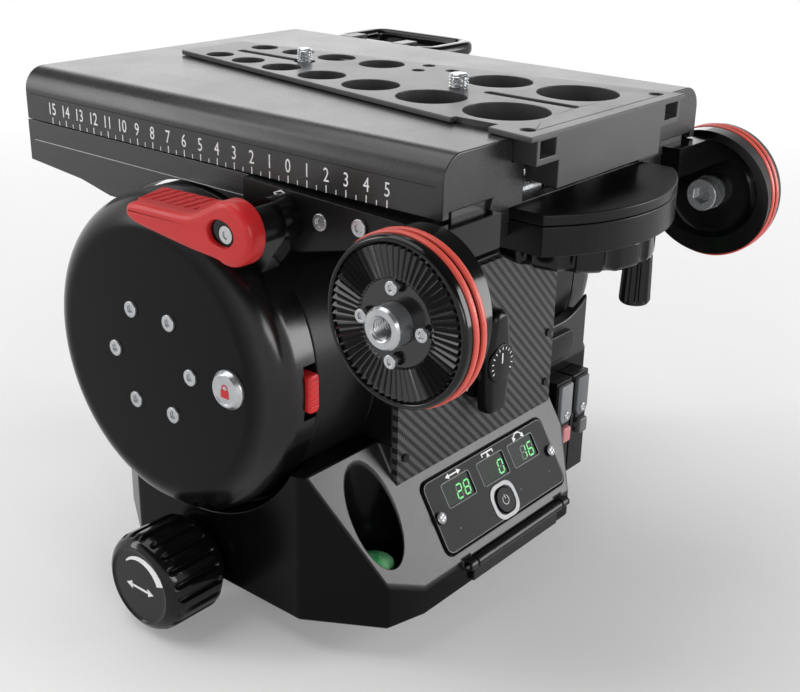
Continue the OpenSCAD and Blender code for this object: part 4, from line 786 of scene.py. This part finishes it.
class HEAD_OT_display(bpy.types.Operator):
    """Lit digits, plain signs, frame lines and the power sign of the display"""
    bl_idname = "head.display"
    bl_label = "Display"
    SEGMENTS = {"0": "abcdef", "1": "bc", "2": "abged", "6": "acdefg", "8": "abcdefg"}
    WINDOWS = (-25.6, 1.0, 25.7)
    PANEL_V, BUTTON_V, DIGIT_V, WINDOW_V, SIGN_V = 22.5, 13.8, 28.4, 29.5, 37.0
    PANEL_W = 1.0
    INK = 0.06

    def execute(self, context):
        self.digits()
        self.signs()
        self.edges()
        self.screw_heads()
        self.power()
        return {"FINISHED"}

    def on_slant(self, points, x, v, w=PANEL_W):
        """Local points put on the slanted face at x, v up the slope and w out of it."""
        return seat(SLANT_FOOT + x * X_AXIS + v * SLANT_UP + w * SLANT_OUT, X_AXIS, SLANT_UP)(points)

    def digits(self):
        """Seven bars per digit, 4.3 by 7 mm over all, leaning by u + 0.14 v."""
        half = {"a": (0.0, 3.1, 0), "b": (2.05, 1.55, 1), "c": (2.05, -1.55, 1), "d": (0.0, -3.1, 0),
                "e": (-2.05, -1.55, 1), "f": (-2.05, 1.55, 1), "g": (0.0, 0.0, 0)}
        strokes = (bar(2.9, 0.75, self.INK), bar(0.75, 2.5, self.INK))
        pitch, lean, inset = 5.6, 0.14, 2.4
        lit, rest = Shape(), Shape()
        for text, edge in (("28", -17.0), ("0", 9.6), ("16", 34.2)):
            for k, char in enumerate(reversed(text)):
                for key, (u, v, upright) in half.items():
                    piece = moved(strokes[upright], u * 0.86, v)
                    piece[..., 0] += lean * piece[..., 1]
                    shape = lit if key in self.SEGMENTS[char] else rest
                    shape.rings(self.on_slant(piece, edge - inset - pitch * k, self.DIGIT_V, 0.4))
        lit.build("display_digits", "digit", "pan", "window")
        rest.build("display_unlit", "unlit", "pan", "window")

    def signs(self):
        """Turn, balance and tilt signs above the windows."""
        tip = arrow_head(2.0, 0.6, 1.3, self.INK)
        turn = double_arrow(6.0, 0.7, self.INK, tip, 3.6)
        post = bar(0.7, 1.6, self.INK)
        balance = (moved(bar(9.0, 0.7, self.INK), 0.0, 0.9), moved(spun(tip, 90.0), 0.0, -1.1),
                   moved(post, -4.1, 0.2), moved(post, 4.1, 0.2))
        tilt = (arc_band(3.4, 0.7, 25.0, 130.0, self.INK), moved(spun(tip, 235.0), -3.4, 1.5),
                moved(spun(tip, -55.0), 3.4, 1.5))
        shape = Shape()
        for x, pieces, drop in zip(self.WINDOWS, (turn, balance, tilt), (0.0, 0.0, -2.0)):
            for piece in pieces:
                shape.rings(self.on_slant(moved(piece, 0.0, drop), x, self.SIGN_V))
        shape.build("display_signs", "ink", "pan", "panel")

    def edges(self):
        """The panel's thin edge, the window rims and three small dots."""
        line = band(oval_rect(93.4, 33.4, 3.8), oval_rect(92.7, 32.7, 3.5), 0.0, 0.05)
        rim = band(oval_rect(20.9, 11.9, 1.3), oval_rect(20.0, 11.0, 0.9), 0.0, 0.12)
        dot = slab(circle(0.4, 16), 0.0, self.INK, 0.02, 2)
        edge = Shape().rings(self.on_slant(line, 0.0, self.PANEL_V), loop=True)
        for x in self.WINDOWS:
            edge.rings(self.on_slant(rim, x, self.WINDOW_V), loop=True)
        for x in (-34.0, 13.5, 37.8):
            edge.rings(self.on_slant(dot, x, self.BUTTON_V))
        edge.build("display_edges", "ink_dim", "pan", "panel")

    def screw_heads(self):
        """Domed heads at both ends of the panel, their cross slot drawn as gloss black bars: painted shade of
        the slot.
        """
        heads = Shape()
        crown = eased([[0.0, 2.0], [2.9, 2.0], [2.7, 2.5], [1.6, 2.9], [0.0, 3.0]], 0.3)
        for x in (-43.7, 43.7):
            heads.rings(self.on_slant(turned(crown, 32), x, self.PANEL_V, 0.0))
            # The cross slot is two gloss black bars on the dome, painted shade of a recess
            for turn in (20.0, 110.0):
                heads.rings(self.on_slant(spun(bar(3.6, 0.8, 0.5), turn), x, self.PANEL_V, 2.55), 1)
        heads.build("display_screw_heads", "screw gloss", "pan", "steel")

    def power(self):
        """A round-cornered ring about the button and the usual open circle with a stroke on it."""
        ring = band(oval_rect(18.4, 16.8, 6.2, 9), oval_rect(14.6, 13.2, 5.4, 9), -0.05, 0.35)
        surround = Shape().rings(self.on_slant(ring, 0.0, self.BUTTON_V), loop=True)
        surround.build("power_surround", "ink_grey", "pan", "panel")
        sign = Shape()
        for piece in (arc_band(1.9, 0.45, 120.0, 300.0, self.INK), moved(bar(0.5, 2.1, self.INK), 0.0, 1.6)):
            sign.rings(self.on_slant(piece, 0.0, self.BUTTON_V, 1.8))
        sign.build("power_sign", "ink_grey", "power_button", "panel")


class HEAD_OT_rosettes(bpy.types.Operator):
    """Ridged rosettes on both sides, the polished rims and coral rings round them, and the threaded bushes"""
    bl_idname = "head.rosettes"
    bl_label = "Rosettes"

    def execute(self, context):
        teeth, rims, bushes, rings = Shape(), Shape(), Shape(), Shape()
        disc = toothed_disc(8.1, 16.0, 28.4, 28.6, 1.6, 60, 4.4)
        rim = eased([[28.7, -4.2], [28.7, -0.9], [29.4, -0.2], [30.4, -0.4], [31.2, -1.4], [31.2, -4.3]],
                    0.7, 5)
        outer = [[0.0, -14.0], [7.9, -14.0], [7.9, 5.2], [7.1, 6.2], [4.9, 6.2], [4.5, 5.7]]
        bore = helix(4.0, -0.55, 1.25, -8.0, 5.4, 36)[::-1]
        for side, right, top in ((-1, -Y_AXIS, 32.2), (1, Y_AXIS, 31.7)):
            at = seat((side * ROSETTE_X, ROSETTE_Y, ROSETTE_Z), right, Z_AXIS)
            teeth.rings(at(disc), loop=True)
            rims.rings(at(turned(rim, 112)), loop=True)
            bushes.rings(at(np.concatenate([turned(outer, 36), bore])))
            for low, high in ((-11.2, -8.6), (-7.0, -4.4)):
                crest = [[top - 0.3, low], [top, 0.5 * (low + high)], [top - 0.3, high]]
                loop = eased_loop([[30.6, low], *crest, [30.6, high]], 0.5, 4)
                rings.rings(at(turned(loop, 128)), loop=True)
        teeth.build("rosette_teeth", "ridge", "tilt", "gloss_black", ["rosettes"], sharp=20.0)
        rings.build("coral_rings", "coral", "tilt", "red", ["red_rings"], sharp=70.0)
        rims.build("cup_rims", "gloss", "tilt", "gloss_black", sharp=60.0)
        bushes.build("threaded_bushes", "steel", "tilt", "steel", ["bar_bushes"], sharp=34.0)
        return {"FINISHED"}


class HEAD_OT_lever(bpy.types.Operator):
    """Red lock lever: a rounded arm about its pivot, a recess at the screw with a black floor as painted
    shade, and a ribbed grip
    """
    bl_idname = "head.lever"
    bl_label = "Lock lever"
    SCREW_U = -2.4

    def execute(self, context):
        at = seat(LEVER_SPOT, -Y_AXIS, Z_AXIS)
        a = np.radians(np.linspace(62.0, 298.0, 30))
        hub = oval(a, 12.6, 12.6, -1.0, 0.2)
        arm = [[19.5, -10.2], [52.0, -6.6], [58.0, -4.2], [57.2, 2.2], [19.5, 3.4]]
        outline = eased_loop(np.concatenate([hub, arm]), 7.0, 8)[::-1] * (-1.0, 1.0)
        face = slab(outline, 0.0, 8.5, 2.4, 6, 0.8)
        way = np.arctan2(outline[:, 1], outline[:, 0] - self.SCREW_U)
        hole = oval(way, 7.2, 5.3, self.SCREW_U)
        wall = [lifted(hole * k, w) for k, w in ((1.06, 8.5), (1.0, 8.1), (1.0, 6.3))]
        shape = Shape().rings(at(np.concatenate([face, np.stack(wall)])))
        # The recess floor takes the gloss black finish: painted shade in the recess
        recess_shade = oval(a * 1.525, 7.1, 5.2, self.SCREW_U)
        shape.rings(at(slab(recess_shade, 6.2, 6.45, 0.1, 2)), 1)
        shape.rings(at(self.grip()))
        shape.build("lock_lever_arm", "red gloss", "lock_lever", "red", ["lock_lever"], sharp=30.0)
        return {"FINISHED"}

    def grip(self):
        """Rings along the arm: top v = 3 + 0.16 d rising inwards with d, less a slanted groove every 5 mm."""
        along = np.linspace(11.5, 57.0, 190)[:, None]
        inner, outer, drum_clear = -12.3, 4.0, 0.15
        across = np.concatenate([np.linspace(outer, inner, 24), np.full(3, -12.5),
                                 np.linspace(inner, outer, 8)])
        d = -across[None, :]
        groove = np.abs(np.mod((along - 26.0 + 0.4 * d) / 5.0, 1.0) - 0.5) * 2.0
        depth = 1.5 * smooth(groove, 0.66, 0.84) * smooth(along, 25.0, 26.0)
        depth = depth * (1.0 - smooth(along, 55.0, 56.5))
        top = 3.0 + 0.16 * np.maximum(d, 0.0) - 0.5 * smooth(d, 11.0, 12.5) - 2.5 * smooth(-d, 1.0, 4.0)
        top = top + 2.2 * (1.0 - smooth(along, 10.0, 24.0)) - 0.03 * (along - 25.0)
        top = top - depth * smooth(d, -2.5, -0.5)
        y = LEVER_SPOT[1] + along
        drum = np.sqrt(np.maximum(DRUM_R ** 2 - y ** 2, 0.0)) + TILT_Z - LEVER_SPOT[2] + drum_clear
        drum = np.maximum(drum, -5.0)
        low = np.minimum(drum, top - 0.8)
        column = np.arange(len(across))[None, :]
        v = np.where(column < 25, top, np.where(column == 25, 0.5 * (top + low), low))
        return np.stack([np.broadcast_to(-along, v.shape), v, np.broadcast_to(across[None, :], v.shape)], -1)


class HEAD_OT_drum_controls(bpy.types.Operator):
    """Push button with a lock sign on the left cap, and the ribbed latch at the drum's rim"""
    bl_idname = "head.drum_controls"
    bl_label = "Drum controls"

    def execute(self, context):
        at = seat(BUTTON_SPOT, -Y_AXIS, Z_AXIS)
        top, ink = 2.45, 0.12
        line = [[0.0, -11.0], [8.5, -11.0], [8.5, 0.9], [6.9, 2.8], [6.0, 2.8], [5.8, top], [0.0, top]]
        button = Shape().rings(at(turned(eased(line, 0.3), 72)))
        button.build("push_button", "steel", "lock_button", "steel", ["lock_button"])
        sign = Shape().rings(at(moved(slab(oval_rect(4.6, 3.6, 0.6), 0.0, ink, 0.04, 2), 0.0, -1.3, top)))
        sign.rings(at(moved(arc_band(1.15, 0.6, 0.0, 180.0, ink), 0.0, 1.1, top)))
        for u in (-1.45, 1.45):
            sign.rings(at(moved(bar(0.6, 1.3, ink), u, 0.7, top)))
        sign.build("push_button_sign", "red", "lock_button", "red")
        at = seat(LATCH_SPOT, X_AXIS, Z_AXIS)
        latch = Shape().rings(at(slab(oval_rect(6.3, 17.0, 2.2), 0.0, 9.9, 1.1, 5)))
        rib = slab(oval_rect(4.8, 0.9, 0.4, 4), 0.0, 0.7, 0.35, 3)
        for v in np.linspace(-5.4, 5.4, 5):
            latch.rings(at(moved(rib, 0.0, v, 9.6)))
        latch.build("drum_latch_ribbed", "red", "drum_latch", "red", ["drum_latch"])
        return {"FINISHED"}


class HEAD_OT_drag_knobs(bpy.types.Operator):
    """Fluted pan and tilt drag knobs with a growing white arc and an arrow on their faces"""
    bl_idname = "head.drag_knobs"
    bl_label = "Drag knobs"

    def execute(self, context):
        face, ink = 33.3, 0.08
        line = [[0.0, 0.0], [18.5, 0.0], [19.0, 4.0], [22.0, 4.6], [23.0, 6.4], [22.9, 28.5], [21.2, 32.2],
                [18.4, 34.0], [17.6, 34.0], [17.2, face], [0.0, face]]
        form = turned(resampled(eased(line, 1.6, 6), 1.5), 240, flutes(20, 1.7, 4.6, 31.5, 0.3))
        arc = arc_band(12.4, 0.6, 132.0, -112.0, ink, 4.2)
        arrow = double_arrow(11.0, 1.2, ink, arrow_head(3.0, 0.8, 2.0, ink), 6.0)
        for body, spot, right in (("pan_drag_knob", PAN_KNOB_SPOT, -Y_AXIS),
                                  ("tilt_drag_knob", TILT_KNOB_SPOT, Y_AXIS)):
            at = seat(spot, right, Z_AXIS)
            knob = Shape().rings(at(form))
            knob.build(body + "_fluted", "gloss", body, "black_plastic", [body], sharp=50.0)
            mark = Shape().rings(at(moved(arc, 0.0, 0.0, face)))
            for piece in arrow:
                mark.rings(at(moved(piece, 0.0, -1.5, face)))
            mark.build(body + "_mark", "ink", body, "black_plastic")
        return {"FINISHED"}


class HEAD_OT_counterbalance(bpy.types.Operator):
    """Wing knob of the counterbalance with its tick ring, and the dial's ticks"""
    bl_idname = "head.counterbalance"
    bl_label = "Counterbalance"

    def execute(self, context):
        at = seat(WING_SPOT, X_AXIS, Z_AXIS)
        top, ink = 9.9, 0.07
        hub = eased([[0.0, -0.6], [10.6, -0.6], [11.8, 0.6], [11.8, 3.6], [10.4, 5.0], [0.0, 5.0]], 0.8)
        wing = eased_loop([[-5.4, 25.0], [-8.6, 6.0], [-8.6, -6.0], [-7.4, -25.0], [7.4, -25.0], [8.6, -6.0],
                           [8.6, 6.0], [5.4, 25.0]], 5.0, 7)
        knob = Shape()
        for form in (turned(hub, 64), slab(wing, 2.1, 9.3, 3.4, 7, 1.0),
                     slab(circle(9.4, 56), 8.4, top, 0.7, 4)):
            knob.rings(at(form))
        knob.build("wing_knob", "moulded", "counterbalance_knob", "black_plastic", ["counterbalance_knob"])
        ticks = Shape()
        for degrees in np.arange(-120.0, 121.0, 20.0):
            ticks.rings(at(spun(moved(bar(0.45, 1.5, ink), 0.0, 7.3, top), degrees)))
        ticks.rings(at(moved(bar(0.8, 5.0, ink), 0.0, 2.5, top)))
        ticks.build("wing_knob_ticks", "ink", "counterbalance_knob", "black_plastic")
        at = seat(DIAL_SPOT, X_AXIS, Z_AXIS)
        dial = Shape()
        for k, degrees in enumerate(np.arange(-135.0, 136.0, 15.0)):
            long = 3.0 if k % 3 == 0 else 1.8
            dial.rings(at(spun(moved(bar(0.5, long, ink), 0.0, 17.8 - long / 2), degrees)))
        dial.build("dial_ticks", "ink", "pan", "black_plastic")
        return {"FINISHED"}


class HEAD_OT_crank(bpy.types.Operator):
    """Crank wheel with broad scallops and its fluted grip"""
    bl_idname = "head.crank"
    bl_label = "Crank"

    def execute(self, context):
        line = [[0.0, 171.2], [31.6, 171.2], [34.5, 173.6], [34.5, 182.4], [33.8, 183.2], [5.0, 183.2],
                [5.0, 189.0], [0.0, 189.0]]
        form = turned(resampled(eased(line, 1.3, 5), 1.6), 288, flutes(12, 1.9, 168.0, 186.0, 0.25, 1.0))
        wheel = Shape().rings(seat(WHEEL_SPOT, X_AXIS, Y_AXIS)(form))
        wheel.build("crank_wheel", "gloss", "crank", "black_plastic", ["crank_knob"], sharp=26.0)
        line = [[0.0, 148.7], [5.4, 148.7], [6.6, 150.2], [5.9, 170.4], [5.2, 170.9], [0.0, 170.9]]
        form = turned(resampled(eased(line, 0.9, 5), 1.2), 120, flutes(10, 0.8, 149.5, 170.6, 0.2, 1.5))
        grip = Shape().rings(seat(GRIP_SPOT, X_AXIS, Y_AXIS)(form))
        grip.build("crank_grip_fluted", "gloss", "crank_grip", "black_plastic", ["crank_grip"], sharp=30.0)
        return {"FINISHED"}


class HEAD_OT_bail(bpy.types.Operator):
    """Release bail: a rounded bar carried round a closed loop"""
    bl_idname = "head.bail"
    bl_label = "Release bail"

    def execute(self, context):
        """Ring at each point p of the loop: p + n a sgn(cos f) |cos f|^0.7 + z b sgn(sin f) |sin f|^0.7."""
        path = oval_rect(40.0, 66.0, 9.0, 12) + BAIL_MIDDLE
        f = around(28)
        out = 4.1 * np.sign(np.cos(f)) * np.abs(np.cos(f)) ** 0.7
        rise = 3.9 * np.sign(np.sin(f)) * np.abs(np.sin(f)) ** 0.7
        flat = path[:, None, :] + outline_normals(path)[:, None, :] * out[None, :, None]
        bail = Shape().rings(lifted(flat, BAIL_Z + rise[None, :]), loop=True)
        bail.build("bail_loop", "gloss", "release_bail", "gloss_black", ["release_bail"], sharp=60.0)
        return {"FINISHED"}


class HEAD_OT_threads(bpy.types.Operator):
    """Camera screws and the clamp screw with their helical threads"""
    bl_idname = "head.threads"
    bl_label = "Threads"

    def execute(self, context):
        screws = Shape()
        for y, r, pitch in ((-64.5, 4.3, 1.3), (26.5, 3.6, 1.1)):
            core = r - 0.5
            lower = [[0.0, 209.4], [6.2, 209.4], [7.0, 210.0], [7.0, 213.1], [core, 213.2], [core, 230.0]]
            upper = [[r - 0.75, 236.0], [r - 1.1, 236.3], [0.0, 236.3]]
            form = [turned(lower, 40), helix(r, 0.6, pitch, 230.1, 235.9, 40), turned(upper, 40)]
            screws.rings(seat((0.0, y, 0.0), X_AXIS, Y_AXIS)(np.concatenate(form)))
        screws.build("camera_studs", "steel", "camera_plate", "steel", ["camera_screws"], sharp=30.0)
        self.clamp("clamp_thread", CLAMP_SPOT, 3.0, (2.5, 2.4), 37.3, 37.8, ["clamp_screw"])
        self.clamp("clamp_screw_tip", CLAMP_TIP_SPOT, 2.8, (2.4, 2.2), 23.6, 24.4)
        return {"FINISHED"}

    def clamp(self, name, spot, radius, ends, top, length, nodes=()):
        """A threaded rod along X, with the radii of its two ends and the height where the thread stops."""
        foot, crown = ends
        form = [turned([[0.0, 0.0], [foot, 0.0]], 28), helix(radius, 0.45, 1.0, 0.3, top, 28),
                turned([[crown, length], [0.0, length]], 28)]
        rod = Shape().rings(seat(spot, Y_AXIS, Z_AXIS)(np.concatenate(form)))
        rod.build(name, "steel", "platform", "steel", nodes, sharp=30.0)


class HEAD_OT_level(bpy.types.Operator):
    """Bubble level: a dark collar, a green domed vial, its ring and the bubble, pale as a painted highlight
    """
    bl_idname = "head.level"
    bl_label = "Level"

    def execute(self, context):
        at = seat(LEVEL_SPOT, X_AXIS, Y_AXIS)
        dome_r, lift = 9.1, 6.52
        a = np.linspace(0.0, QUARTER, 14)
        line = [[0.0, 0.05], [12.3, 0.05], [12.3, 3.0], [11.4, 3.8], [9.6, 3.8], [9.2, 2.6], [0.0, 2.6]]
        dome = np.concatenate([[[0.0, 2.0], [dome_r, 2.0]], oval(a, dome_r, 2.4, 0.0, 4.4)])
        ring = eased([[3.6, lift - 0.5], [3.6, lift], [4.1, lift], [4.1, lift - 0.5]], 0.05, 3)
        # The bubble: a pale lens on the vial, its colour a painted highlight
        bubble = moved(turned(oval(a, 2.8, 0.45), 40), 1.5, -0.8, lift - 0.25)
        level = Shape().rings(at(turned(eased(line, 0.4), 64)))
        level.rings(at(turned(dome, 64)), 1)
        level.rings(at(turned(ring, 56)), 0, loop=True)
        level.rings(at(bubble), 2)
        level.build("level_vial_domed", "gloss vial bubble", "pan", "vial", ["level_vial"])
        return {"FINISHED"}


class HEAD_OT_brakes(bpy.types.Operator):
    """Brake sliders with their tags and small bolts, and the tab above the boxes"""
    bl_idname = "head.brakes"
    bl_label = "Brakes"

    def execute(self, context):
        line = [[-5.2, 16.4], [-5.2, -1.5], [-3.4, -4.6], [3.4, -4.6], [5.2, -1.5], [5.2, 16.4]]
        plate = slab(eased_loop(line, 0.9), 0.0, 2.0, 0.5, 4)
        stem = moved(slab(oval_rect(6.4, 16.0, 1.0), -4.0, 0.3, 0.2, 2), 0.0, -2.0)
        slider = slab(oval_rect(7.4, 8.6, 1.6), -3.0, 2.6, 1.1, 5)
        head = [[0.0, 1.6], [2.3, 1.6], [2.3, 2.3], [1.9, 2.6], [1.3, 2.6], [1.2, 2.2], [0.0, 2.2]]
        bolt = moved(turned(eased(head, 0.2), 28), 0.6, -1.0)
        for body, x, looks, shift in (("pan_brake", 72.85, "tag pink steel gloss", 1.6),
                                      ("tilt_brake", 88.15, "tag_dark grey steel gloss", 2.2)):
            at = seat((x, BRAKE_Y, BRAKE_Z), X_AXIS, Z_AXIS)
            shape = Shape()
            for form, mark in ((plate, 0), (stem, 3), (moved(slider, shift, -12.2), 1), (bolt, 2)):
                shape.rings(at(form), mark)
            shape.build(body + "_tag", looks, body, "grey_plastic", [body + "_slider"])
        tab = slab(oval_rect(28.0, 14.6, 4.8, 9), 0.0, 3.4, 1.0, 5)
        Shape().rings(seat(TAB_SPOT, X_AXIS, Z_AXIS)(tab)).build("housing_tab", "satin", "pan", "black_satin")
        return {"FINISHED"}


class HEAD_PT_panel(bpy.types.Panel):
    """Lists the steps that dress the head"""
    bl_idname = "HEAD_PT_panel"
    bl_label = "Video Head"
    bl_space_type = "VIEW_3D"
    bl_region_type = "UI"
    bl_category = "Video Head"

    def draw(self, context):
        for key in HeadLooks.__annotations__:
            self.layout.prop(context.scene.head_looks, key)
        for step in STEPS:
            self.layout.operator(step.bl_idname)


STEPS = (HEAD_OT_stage, HEAD_OT_finishes, HEAD_OT_scale, HEAD_OT_display, HEAD_OT_rosettes, HEAD_OT_lever,
         HEAD_OT_drum_controls, HEAD_OT_drag_knobs, HEAD_OT_counterbalance, HEAD_OT_crank, HEAD_OT_bail,
         HEAD_OT_threads, HEAD_OT_level, HEAD_OT_brakes)
CLASSES = (HeadLooks, *STEPS, HEAD_PT_panel)


def register():
    for cls in CLASSES:
        bpy.utils.register_class(cls)
    bpy.types.Scene.head_looks = bpy.props.PointerProperty(type=HeadLooks)


def unregister():
    del bpy.types.Scene.head_looks
    for cls in reversed(CLASSES):
        bpy.utils.unregister_class(cls)


def main():
    register()
    for step in STEPS:
        group, action = step.bl_idname.split(".")
        getattr(getattr(bpy.ops, group), action)()


if __name__ == "__main__":
    main()
